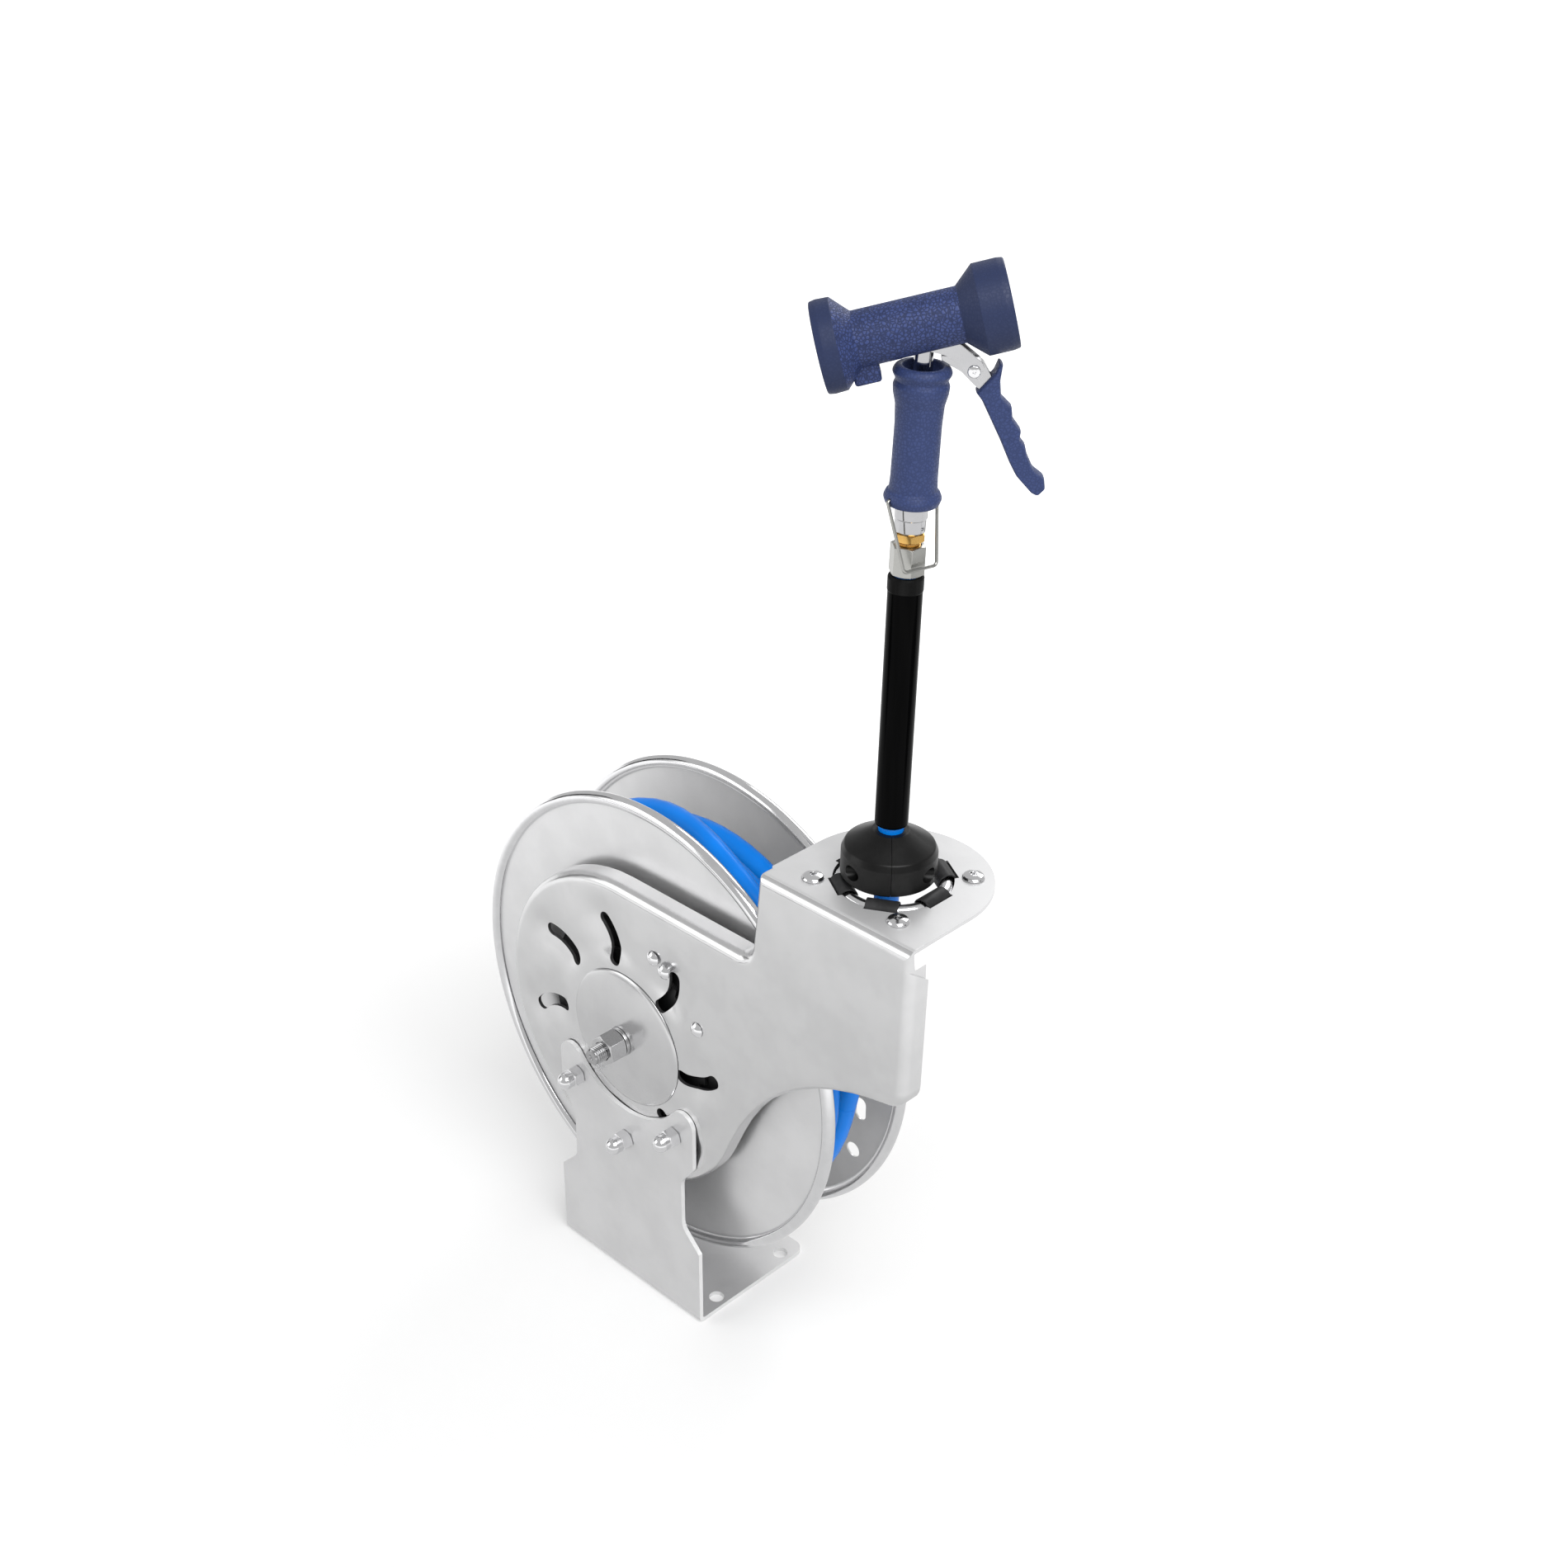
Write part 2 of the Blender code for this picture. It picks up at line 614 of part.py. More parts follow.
def dimple(x, z, lines):
    """How far the arm's sheet is pressed in at a point of its face."""
    centre = Vector(ARM_DISC)
    place = Vector((x, z))
    from_axle, from_disc = place.length, (place - centre).length
    nearest = min((place - point).length for line in lines for point in line)
    fade_in = min(max((from_axle - CRADLE_R + DIMPLE_EASE / 4) / DIMPLE_EASE, 0), 1)
    fade_out = min(max((ARM_DISC_R - ARM_ROLL - from_disc) / DIMPLE_EASE, 0), 1)
    return DIMPLE_DEPTH * math.exp(-((nearest / DIMPLE_SPREAD) ** 2) / 2) * fade_in * fade_out


def press_dimples(arm, slots):
    """Cuts the disc's face into a grid and presses it in round each slot."""
    lines = [slot_line(*slot) for slot in slots]
    shape = bmesh.new()
    shape.from_mesh(arm.data)
    reach = ARM_DISC_R - ARM_ROLL
    right_edge = ARM_DISC[0] + reach
    face_low = -ARM_INNER_Y - 0.0001

    def on_disc(face):
        middle = face.calc_center_bounds()
        return middle.x < right_edge and middle.z > face_low and abs(face.normal.z) > 0.9

    def cut(place, normal):
        chosen = [face for face in shape.faces if on_disc(face)]
        edges = {edge for face in chosen for edge in face.edges}
        verts = {vert for face in chosen for vert in face.verts}
        bmesh.ops.bisect_plane(
            shape, geom=[*chosen, *edges, *verts], dist=0.00001, plane_co=place, plane_no=normal
        )

    cut((right_edge, 0, 0), (1, 0, 0))
    count = round(2 * reach / DIMPLE_GRID)
    for i in range(1, count):
        cut((ARM_DISC[0] - reach + i * DIMPLE_GRID, 0, 0), (1, 0, 0))
        cut((0, ARM_DISC[1] - reach + i * DIMPLE_GRID, 0), (0, 1, 0))
    for vert in shape.verts:
        if vert.co.z > face_low:
            vert.co.z -= dimple(vert.co.x, vert.co.y, lines)
    shape.to_mesh(arm.data)
    shape.free()


def build_arm():
    """Pressed side arm: face, flanged edge and folded top plate, from one sheet."""
    corners = arm_corners()
    face, back = -ARM_FACE_Y, -ARM_BACK_Y
    turns = [math.radians(a) for a in (0, 45, 90)]
    outer = [(0, back)] + [
        (ARM_ROLL * (1 - math.cos(a)), face - ARM_ROLL * (1 - math.sin(a))) for a in turns
    ]
    inner_roll = ARM_ROLL - ARM_T
    inner = [
        (ARM_T + inner_roll * (1 - math.cos(a)), face - ARM_ROLL + inner_roll * math.sin(a))
        for a in reversed(turns)
    ] + [(ARM_T, back)]
    loops = [
        [[(x, z, height) for x, z in outline(corners, inset)] for inset, height in rows]
        for rows in (outer, inner)
    ]
    arm = pan("guide_arm", *loops, AXLE, "steel")
    half, front = GUIDE_HALF, ARM_BACK_Y - RING_Y - 0.003
    tip = arc_corners(0, 0, half, 0, math.pi, 4)
    points = outline([(-half, front, 0.0005), (half, front, 0.0005), *tip])
    tops = plate("add_top_plate", points, RING_DROP - ARM_T, RING_DROP, GUIDE)
    combine(arm, [tops], "UNION")
    stud_low, stud_high = -ARM_INNER_Y - 0.0045, -BRACKET_FRONT_Y + STUD_OUT - 0.001
    studs = [
        cylinder(f"add_stud_{i}", STUD_R, stud_low, stud_high, AXLE, segments=16, at=(x, z, 0))
        for i, (x, z) in enumerate(STUD_XZ)
    ]
    slots = swirl_slots()
    tools = [
        plate(f"cut_slot_{i}", slot_outline(*slot), -ARM_INNER_Y - 0.004, face + 0.004, AXLE)
        for i, slot in enumerate(slots)
    ]
    tools.append(cylinder("cut_axle_hole", THREAD_R + GAP, -ARM_INNER_Y - 0.004, face + 0.004, AXLE))
    low, high = -ARM_INNER_Y - 0.004, face + 0.004
    tools += [
        cylinder(f"cut_rivet_{i}", RIVET_R + GAP, low, high, AXLE, segments=12, at=(x, z, 0))
        for i, (x, z) in enumerate(RIVET_XZ)
    ]
    face_z = PLATE_TOP_Z - NOTCH_DROP
    slant = [(ARM_FACE_Y - 0.001, face_z), (ARM_BACK_Y + 0.001, face_z - NOTCH_FALL)]
    slant += [(ARM_BACK_Y + 0.001, PLATE_TOP_Z + 0.01), (ARM_FACE_Y - 0.001, PLATE_TOP_Z + 0.01)]
    end_low, end_high = RING_X + GUIDE_HALF, ARM_END_X + 0.01
    tools.append(plate("cut_end_relief", slant, end_low, end_high, WORLD, None, ACROSS))
    combine(arm, tools)
    arm = settled(arm)
    press_dimples(arm, slots)
    guide_holes = [cylinder("cut_ring_hole", RING_REACH + 0.0004, -0.02, 0.02, GUIDE, segments=36)]
    guide_holes += roller_boxes("cut_plate_notch")
    guide_holes += [
        cylinder(f"cut_guide_hole_{i}", GUIDE_SCREW_R + 0.0005, -0.02, 0.02, GUIDE, at=(x, y, 0), segments=12)
        for i, (x, y) in enumerate(guide_screw_places())
    ]
    combine(arm, studs, "UNION")
    combine(arm, guide_holes)


def hub_dish():
    """Shallow domed cover plate round the axle, clamped by the nut."""
    seat, rise = -DISH_BACK_Y, HUB_DISH_RISE
    shares = (1.0, 0.86, 0.66, 0.44, 0.26)
    dome = [(HUB_DISH_R * s, seat + HUB_DISH_T + rise * (1 - s**2.2) / (1 - 0.26**2.2)) for s in shares]
    under = [(r, h - HUB_DISH_T) for r, h in reversed(dome)]
    flat_r = THREAD_R + GAP
    section = [(flat_r, dome[-1][1])] + dome[::-1] + under[::-1] + [(flat_r, under[0][1])]
    turned("hub_dish", section, AXLE, "steel", 28)


# ---------------------------------------------------------------- ring guide
def roller_angles():
    return [2 * math.pi * i / ROLLER_COUNT for i in range(ROLLER_COUNT)]


def roller_boxes(name):
    half = ROLLER_L / 2 + ROLLER_SPACE
    wide = ROLLER_R + ROLLER_SPACE
    low, high = (ROLLER_REACH - wide, -half, -0.02), (ROLLER_REACH + wide, half, 0.02)
    return [
        box(f"{name}_{i}", low, high, GUIDE, None, Matrix.Rotation(angle, 4, "Z"))
        for i, angle in enumerate(roller_angles())
    ]


def guide_screw_places():
    reach = GUIDE_SCREW_XY
    return [(reach, reach), (-reach, reach), (-reach, -reach), (reach, -reach)]


def build_guide():
    """Round rod ring with its rollers, held under the top plate by a pressed ring."""
    rod = bead(RING_R, 0, ROD_R, 0, 315, 7)
    smooth(turned("guide_ring", rod, GUIDE, "polished", 36))
    for i, angle in enumerate(roller_angles()):
        ends = ROLLER_L / 2
        wall = [(ROLLER_R, ends), (ROLLER_R, -ends), (ROLLER_BORE_R, -ends), (ROLLER_BORE_R, ends)]
        turn = Matrix.Rotation(angle, 4, "Z") @ Matrix.Rotation(math.radians(90), 4, "X")
        at = (ROLLER_REACH * math.cos(angle), ROLLER_REACH * math.sin(angle), 0)
        turned(f"guide_roller_{i + 1}", wall, GUIDE, "black_plastic", 12, at, turn)
    top = PLATE_LOW_Z - GAP - RING_Z
    shelf = -ROD_R - GAP
    foot_r = RING_REACH + 0.0006
    step_r = foot_r + 0.0045
    section = [
        (RETAINER_R, top),
        (RETAINER_R, top - RETAINER_T),
        (step_r, top - RETAINER_T),
        (foot_r, shelf - RETAINER_T),
        (RING_R - 0.0035, shelf - RETAINER_T),
        (RING_R - 0.0035, shelf),
        (foot_r - 0.001, shelf),
        (step_r - 0.0015, top),
    ]
    retainer = turned("ring_retainer", section, GUIDE, "steel", 30)
    holes = [
        cylinder(f"cut_retainer_{i}", GUIDE_SCREW_R + 0.0005, -0.03, 0.03, GUIDE, at=(x, y, 0), segments=12)
        for i, (x, y) in enumerate(guide_screw_places())
    ]
    # The arm's rolled front corner leaves no room for the front of the ring's edge.
    front = box("cut_retainer_front", (-0.1, -0.1, -0.03), (0.1, RETAINER_FRONT, 0.03), GUIDE)
    combine(retainer, roller_boxes("cut_retainer_notch") + holes + [front])
    seat = RING_DROP + GAP
    for i, (x, y) in enumerate(guide_screw_places()):
        head = [(0, seat + GUIDE_HEAD_H), (GUIDE_HEAD_R * 0.5, seat + GUIDE_HEAD_H * 0.9)]
        head += [(GUIDE_HEAD_R * 0.88, seat + GUIDE_HEAD_H * 0.5), (GUIDE_HEAD_R, seat)]
        low = top - RETAINER_T - 0.004
        shank = [(GUIDE_SCREW_R, seat), (GUIDE_SCREW_R, low), (0, low)]
        turned(f"guide_screw_{i + 1}", head + shank, GUIDE, "polished", 12, (x, y, 0))


# ---------------------------------------------------------------- axle and hub
def build_axle():
    tip = -(DISH_TOP_Y - AXLE_OUT)
    shoulder, end, spigot = -SHOULDER_Y, -JOURNAL_END_Y, -SPIGOT_END_Y
    section = [
        (0, tip),
        (THREAD_R - 0.0015, tip),
        (THREAD_R, tip - 0.0015),
        (THREAD_R, shoulder),
        (JOURNAL_R, shoulder),
        (JOURNAL_R, end),
        (SPIGOT_R, end),
        (SPIGOT_R, spigot),
        (0.005, spigot),
        (0.005, -SWIVEL_Y),
        (0, -SWIVEL_Y),
    ]
    turned("axle", section, AXLE, "steel", 24)
    seat = -DISH_TOP_Y + GAP
    washer = [
        (WASHER_R, seat + WASHER_T - 0.0005),
        (WASHER_R, seat),
        (THREAD_R + GAP, seat),
        (THREAD_R + GAP, seat + WASHER_T),
        (WASHER_R - 0.0008, seat + WASHER_T),
    ]
    turned("axle_washer", washer, AXLE, "polished", 16)
    low = seat + WASHER_T + GAP
    nut = turned("axle_nut", hexagon(NUT_AF, low, low + NUT_H, 0.0012), AXLE, "polished", 6)
    combine(nut, [cylinder("cut_nut", THREAD_R + GAP, 0, 0.2, AXLE)])
    for i, (x, z) in enumerate(STUD_XZ):
        cap_nut(f"cap_nut_{i + 1}", x, z)
    shanks = (ARM_INNER_Y + 0.003, RATCHET_FRONT_Y - 0.0004 + PAWL_T, ARM_INNER_Y + 0.003)
    for i, (x, z) in enumerate(RIVET_XZ):
        seat = -ARM_FACE_Y + GAP
        head = [(0, seat + RIVET_HEAD_R * 0.62), (RIVET_HEAD_R * 0.55, seat + RIVET_HEAD_R * 0.50)]
        head += [(RIVET_HEAD_R * 0.9, seat + RIVET_HEAD_R * 0.22), (RIVET_HEAD_R, seat)]
        shank = [(RIVET_R, seat), (RIVET_R, -shanks[i]), (0, -shanks[i])]
        turned(f"arm_rivet_{i + 1}", head + shank, AXLE, "polished", 12, (x, z, 0))


def flange(name, middle, inward):
    """Spun sheet disc with a rolled rim and a bearing boss on its inner side."""
    sheet = FLANGE_T / 2
    rim_r = FLANGE_R - RIM_BEAD_R
    neck = math.degrees(math.asin(sheet / RIM_BEAD_R))
    rim = bead(rim_r, 0, RIM_BEAD_R, 180 - neck, neck - 180, 6)
    boss = BOSS_DEPTH
    section = [(HUB_BORE_R, sheet), *rim, (BOSS_R, -sheet), (BOSS_R, -boss), (HUB_BORE_R, -boss)]
    placed = [(r, -middle + h * inward) for r, h in section]
    return turned(name, placed, AXLE, "steel", 36)


def build_spool():
    flange("near_flange", NEAR_FLANGE_Y, 1)
    far = flange("far_flange", FAR_FLANGE_Y, -1)
    slot_at, hole_at = (FAR_SLOT_REACH, FAR_SLOT_ANGLE), (FAR_HOLE_REACH, FAR_HOLE_ANGLE)
    polar = [(radius * math.cos(a), radius * math.sin(a)) for radius, a in (slot_at, hole_at)]
    far_low, far_high = -FAR_FLANGE_Y - 0.01, -FAR_FLANGE_Y + 0.01
    x, z = polar[0]
    sides = ((-1, -1), (1, -1), (1, 1), (-1, 1))
    corners = [(x + i * FAR_SLOT_R, z + j * FAR_SLOT_HALF, FAR_SLOT_R - 0.0001) for i, j in sides]
    slot = plate("cut_far_slot", outline(corners), far_low, far_high, AXLE)
    at = (*polar[1], 0)
    hole = cylinder("cut_far_hole", FAR_HOLE_R, far_low, far_high, AXLE, segments=16, at=at)
    reach = GOOSE_REACH
    goose = (reach * math.cos(GOOSE_ANGLE), reach * math.sin(GOOSE_ANGLE), 0)
    pass_hole = cylinder("cut_goose_hole", GOOSE_R + 0.001, far_low, far_high, AXLE, at=goose, segments=16)
    combine(far, [slot, hole, pass_hole])
    near, rear = -SPOOL_NEAR_Y - GAP, -SPOOL_FAR_Y + GAP
    wall = [(DRUM_R, near), (DRUM_R, rear), (DRUM_R - DRUM_WALL, rear), (DRUM_R - DRUM_WALL, near)]
    turned("drum", wall, AXLE, "steel", 36)
    core_r = DRUM_R + GAP
    core_out = WIND_R * math.cos(math.pi / LOOP_POINTS) - HOSE_R - GAP
    core = [(core_out, near), (core_out, rear), (core_r, rear), (core_r, near)]
    turned("hose_core", core, AXLE, "blue_hose", 36)
    outer, inner = JOURNAL_R + RUNNING + BUSH_WALL, JOURNAL_R + RUNNING
    for name, mid, inward in (("bush_front", NEAR_FLANGE_Y, 1), ("bush_rear", FAR_FLANGE_Y, -1)):
        out_h, in_h = -mid + inward * 0.0016, -mid - inward * (BOSS_DEPTH + 0.001)
        turned(name, [(outer, out_h), (outer, in_h), (inner, in_h), (inner, out_h)], AXLE, "bronze", 20)


def build_spring_and_ratchet():
    back, front = -CASE_BACK_Y, -CASE_FRONT_Y
    bore = JOURNAL_R + 0.0035
    can = [
        (bore, front),
        (CASE_R, front),
        (CASE_R, back + CASE_WALL),
        (CASE_R + CASE_LIP, back + CASE_WALL),
        (CASE_R + CASE_LIP, back),
        (CASE_R - CASE_WALL, back),
        (CASE_R - CASE_WALL, front - CASE_WALL),
        (bore, front - CASE_WALL),
    ]
    turned("spring_case", can, AXLE, "black_steel", 32)
    inner_r, outer_r = JOURNAL_R + 0.004, CASE_R - CASE_WALL - 0.0025
    steps = SPRING_TURNS * 10
    spiral = []
    for i in range(steps + 1):
        angle = 2 * math.pi * SPRING_TURNS * i / steps
        spiral.append((inner_r + (outer_r - inner_r) * i / steps, angle))
    outside = [((r + SPRING_T / 2) * math.cos(a), (r + SPRING_T / 2) * math.sin(a)) for r, a in spiral]
    inside = [((r - SPRING_T / 2) * math.cos(a), (r - SPRING_T / 2) * math.sin(a)) for r, a in spiral]
    low, high = back + SPRING_EDGE, front - CASE_WALL - SPRING_EDGE
    plate("mainspring", outside + inside[::-1], low, high, AXLE, "spring_steel")
    teeth = []
    root = RATCHET_R - TOOTH_DEPTH
    for i in range(RATCHET_TEETH):
        start = PAWL_TIP_ANGLE + 2 * math.pi * (i - 0.82) / RATCHET_TEETH
        pitch = 2 * math.pi / RATCHET_TEETH
        for share, radius in ((0, RATCHET_R), (0.42, RATCHET_R), (0.5, root), (0.94, root)):
            angle = start + pitch * share
            teeth.append((radius * math.cos(angle), radius * math.sin(angle)))
    wheel = plate("ratchet_wheel", teeth, -RATCHET_BACK_Y, -RATCHET_FRONT_Y, AXLE, "black_steel")
    combine(wheel, [cylinder("cut_ratchet", bore, 0, 0.1, AXLE, segments=24)])
    build_pawl(root)


def build_pawl(root):
    """Pawl on the second rivet, lifted clear of the wheel's teeth while the hose is home."""
    pivot = Vector(RIVET_XZ[1])
    seated = (root + 0.0008) * Vector((math.cos(PAWL_TIP_ANGLE), math.sin(PAWL_TIP_ANGLE)))
    reach = (seated - pivot).length
    direction = math.atan2(seated.y - pivot.y, seated.x - pivot.x) - PAWL_LIFT
    shape = [(-0.007, -0.006, 0.005), (0.004, -0.006, 0.003), (reach - 0.001, -0.0025, 0.0006)]
    shape += [(reach, 0.0025, 0.0006), (0.006, 0.006, 0.003), (-0.007, 0.006, 0.005)]
    turn = Matrix.Translation((*pivot, 0)) @ Matrix.Rotation(direction, 4, "Z")
    back, front = -RATCHET_BACK_Y, -RATCHET_BACK_Y + PAWL_T
    pawl = plate("pawl", outline(shape), back, front, AXLE, "black_steel", turn)
    combine(pawl, [cylinder("cut_pawl", RIVET_R + GAP, 0, 0.1, AXLE, at=(*pivot, 0), segments=16)])


# ---------------------------------------------------------------- wound hose
def hose_line():
    """The hose's straight run from the drum to the ring, and where it leaves the drum."""
    target = Vector((RING_X, RING_Z - AXLE_Z))
    distance = target.length
    leave = math.atan2(target.y, target.x) - math.acos(WIND_R / distance)
    point = WIND_R * Vector((math.cos(leave), math.sin(leave)))
    along = Vector((-math.sin(leave), math.cos(leave)))
    return leave, point, along


def wound_y(before, leave):
    """Y of the outer layer at this many radians before the hose leaves the drum."""
    first = (leave - CROSSING_END) % (2 * math.pi)
    stepped = 0
    for crossing in range(math.ceil(WOUND_TURNS)):
        share = (before - first - crossing * 2 * math.pi) / CROSSING_SPAN
        share = min(max(share, 0), 1)
        stepped += share * share * (3 - 2 * share)
    return LEAVE_Y - TURN_STEP * stepped


def build_winding():
    """The hose's outer layer on the drum, and its straight run up to the ring."""
    leave, point, along = hose_line()
    total = WOUND_TURNS * 2 * math.pi
    count = round(WOUND_TURNS * LOOP_POINTS)
    coil = []
    for i in range(count + 1):
        before = total * (1 - i / count)
        theta = leave - before
        coil.append(Vector((WIND_R * math.cos(theta), WIND_R * math.sin(theta), -wound_y(before, leave))))
    tail = 2 * HOSE_R  # the straight length at each end
    out_way = Vector((along.x, along.y, 0))
    start = leave - total
    in_way = Vector((math.sin(start), -math.cos(start), 0))
    path = [coil[0] + in_way * tail] + coil + [coil[-1] + out_way * tail]
    smooth(tube("hose_winding", path, HOSE_R, AXLE, "blue_hose", 1))
    gap = min(
        (path[i] - path[j]).length - 2 * HOSE_R
        for i in range(len(path))
        for j in range(i + LOOP_POINTS // 2, len(path))
    )
    print(f"hose winding: least gap to itself {gap * 1000:.2f} mm")
    begin = AXLE.matrix_world @ (coil[-1] + out_way * (tail + GAP))
    build_run(begin, Vector((along.x, 0, along.y)))


def build_run(begin, way):
    """The hose from the drum up through the ring to the stop, on one smooth curve."""
    end = STOP.matrix_world @ Vector((0, 0, -GAP))
    length = (end - begin).length
    last = STOP.matrix_world @ Vector((0, 0, -GAP - length * 0.30))
    controls = [begin, begin + way * length * 0.35, last, end]
    steps = 14
    path = []
    for i in range(steps + 1):
        t = i / steps
        weights = ((1 - t) ** 3, 3 * t * (1 - t) ** 2, 3 * t * t * (1 - t), t**3)
        path.append(sum((w * c for w, c in zip(weights, controls)), Vector()))
    smooth(tube("hose_run", path, HOSE_R, WORLD, "blue_hose", 2))


# ---------------------------------------------------------------- water side
def build_swivel():
    """Turning water joint on the axle's hollow end, its outlet pipe and the fixed inlet."""
    front, back = -SWIVEL_Y, -(SWIVEL_Y + SWIVEL_L)
    bore = SPIGOT_R + RUNNING
    groove = 0.0015
    section = [
        (bore, front),
        (SWIVEL_R - groove, front),
        (SWIVEL_R, front - groove),
        (SWIVEL_R, back + groove),
        (SWIVEL_R - groove, back),
        (bore, back),
    ]
    housing = turned("swivel_housing", section, AXLE, "brass", 24)
    middle = (front + back) / 2
    out = Matrix.Rotation(GOOSE_ANGLE, 4, "Z") @ Matrix.Rotation(math.radians(90), 4, "Y")
    port_r, port_end = GOOSE_R + 0.003, SWIVEL_R + 0.003
    at = (0, 0, middle)
    port = cylinder("add_port", port_r, 0.014, port_end, AXLE, segments=16, at=at, turn=out)
    combine(housing, [port], "UNION")
    bend = 0.013
    start, reach = SWIVEL_R + 0.003 + GAP, GOOSE_REACH
    flat = [(start, middle), (reach - bend, middle)]
    flat += [
        (reach - bend + bend * math.sin(math.radians(a)), middle + bend * (1 - math.cos(math.radians(a))))
        for a in (18, 36, 54, 72, 90)
    ]
    flat.append((reach, -FAR_FLANGE_Y + 0.018))
    c, s = math.cos(GOOSE_ANGLE), math.sin(GOOSE_ANGLE)
    smooth(tube("gooseneck", [(r * c, r * s, h) for r, h in flat], GOOSE_R, AXLE, "brass", 2))
    centre = -(SPIGOT_END_Y + 0.002 + INLET_R)
    seat = -(SWIVEL_Y + SWIVEL_L + 0.001)
    drop = Matrix.Rotation(math.radians(90), 4, "X")
    at = (0, 0, centre)
    elbow = cylinder("inlet_elbow", INLET_R, -0.0125, INLET_DROP, AXLE, "brass", 16, at, drop)
    socket = cylinder("add_socket", SPIGOT_R + 0.005, centre, seat, AXLE, segments=16)
    collar = hexagon(2 * INLET_R + 0.004, INLET_DROP - 0.014, INLET_DROP - 0.001, 0.0006)
    inlet_hex = turned("add_inlet_hex", collar, AXLE, None, 6, at, drop)
    combine(elbow, [socket, inlet_hex], "UNION")
    bores = [
        cylinder("cut_socket", SPIGOT_R + GAP, -SPIGOT_END_Y - GAP, 0, AXLE, segments=16),
        cylinder("cut_inlet", INLET_BORE_R, 0, 0.1, AXLE, segments=16, at=(0, 0, centre), turn=drop),
        cylinder("cut_inlet_link", INLET_BORE_R, centre, -SPIGOT_END_Y, AXLE, segments=16),
    ]
    combine(elbow, bores)


# ---------------------------------------------------------------- hose end
def half_space(name, side, base):
    near, far = sorted((side * GAP / 2, side * 0.1))
    return box(name, (near, -0.1, -0.1), (far, 0.1, 0.2), base)


def build_hose_end():
    """Two-part stop clamped on the hose, the hose's end and its protecting sleeve."""
    r, wall, top = STOP_R, STOP_WALL_H, STOP_H
    neck, bore = HOSE_R + 0.0042, HOSE_R + GAP
    section = [
        (bore, top),
        (neck, top),
        (r - 0.0035, wall + 0.0028),
        (r - 0.0008, wall + 0.0008),
        (r, wall - 0.0025),
        (r, 0.0022),
        (r - 0.002, 0),
        (bore, 0),
    ]
    level = 0.0115
    for side, name in ((-1, "stop_left"), (1, "stop_right")):
        part = turned(name, section, STOP, "black_plastic", 24)
        combine(part, [half_space(f"keep_{name}", side, STOP)], "INTERSECT")
        tools = []
        along = Matrix.Rotation(math.radians(90), 4, "Y")
        pocket = sorted((side * 0.017, side * 0.05))
        for j, y in enumerate((-CLAMP_SCREW_Y, CLAMP_SCREW_Y)):
            for cut, radius, ends, count in (
                ("shank", CLAMP_SCREW_R + GAP, (-0.05, 0.05), 12),
                ("pocket", CLAMP_HEAD_R + 0.0008, pocket, 16),
            ):
                label = f"cut_{cut}_{name}_{j}"
                tools.append(cylinder(label, radius, *ends, STOP, None, count, (0, y, level), along))
        combine(part, tools)
    for i, (y, head) in enumerate(((-CLAMP_SCREW_Y, -1), (CLAMP_SCREW_Y, 1))):
        seat, shank = 0.017 - GAP, 0.0205
        under_head = -seat - 2 * GAP
        section = [(0, -seat - 0.0045), (CLAMP_HEAD_R, -seat - 0.0040), (CLAMP_HEAD_R, under_head)]
        section += [(CLAMP_SCREW_R, under_head), (CLAMP_SCREW_R, shank), (0, shank)]
        placed = [(radius, -height * head) for radius, height in section]
        along = Matrix.Rotation(math.radians(-90), 4, "Y")
        turned(f"stop_screw_{i + 1}", placed, STOP, "polished", 12, (0, y, level), along)
    cylinder("hose_end", HOSE_R, 0, SLEEVE_TOP_Z - STOP_Z, STOP, "blue_hose", 16)
    low, high = SLEEVE_Z - STOP_Z, SLEEVE_TOP_Z - STOP_Z
    inner = HOSE_R + GAP
    sleeve = [
        (SLEEVE_R - 0.0008, high),
        (SLEEVE_R, high - 0.0015),
        (SLEEVE_R, high - BAND_L),
        (SLEEVE_R - 0.0004, high - BAND_L - 0.0005),
        (SLEEVE_R - 0.0004, low + 0.001),
        (SLEEVE_R - 0.0012, low),
        (inner, low),
        (inner, high),
    ]
    turned("hose_sleeve", sleeve, STOP, "black_sleeve", 20)


# ---------------------------------------------------------------- gun
def build_couplings():
    """Ferrule on the hose, brass nipple, and the chrome collar that turns on it."""
    low = 0.0008
    top = low + FERRULE_L
    ferrule = turned("hose_ferrule", hexagon(FERRULE_AF, low, top, 0.0012), GUN, "steel", 6)
    tail = 0.009
    combine(ferrule, [cylinder("cut_ferrule", NIPPLE_R + GAP, top - tail - GAP, 0.1, GUN, segments=20)])
    hex_low = top + NIPPLE_SHOWS
    hex_top = hex_low + NIPPLE_HEX_L
    spigot = NIPPLE_R - 0.0010
    stem = [
        (0, hex_top + 0.0075),
        (spigot, hex_top + 0.0075),
        (spigot, hex_top - 0.001),
        (NIPPLE_R, hex_top - 0.001),
        (NIPPLE_R, top - tail),
        (0, top - tail),
    ]
    nipple = turned("brass_nipple", stem, GUN, "brass", 20)
    nut = turned("add_nipple_hex", hexagon(NIPPLE_AF, hex_low, hex_top, 0.0006), GUN, None, 6)
    combine(nipple, [nut], "UNION")
    collar_low = hex_top + GAP
    collar_top = collar_low + COLLAR_L
    collar = [
        (0, collar_top),
        (COLLAR_R, collar_top),
        (COLLAR_R, collar_low + 0.0012),
        (COLLAR_R - 0.0012, collar_low),
        (spigot + RUNNING, collar_low),
        (spigot + RUNNING, hex_top + 0.0078),
        (0, hex_top + 0.0078),
    ]
    turned("gun_collar", collar, GUN, "polished", 24)
    return collar_top


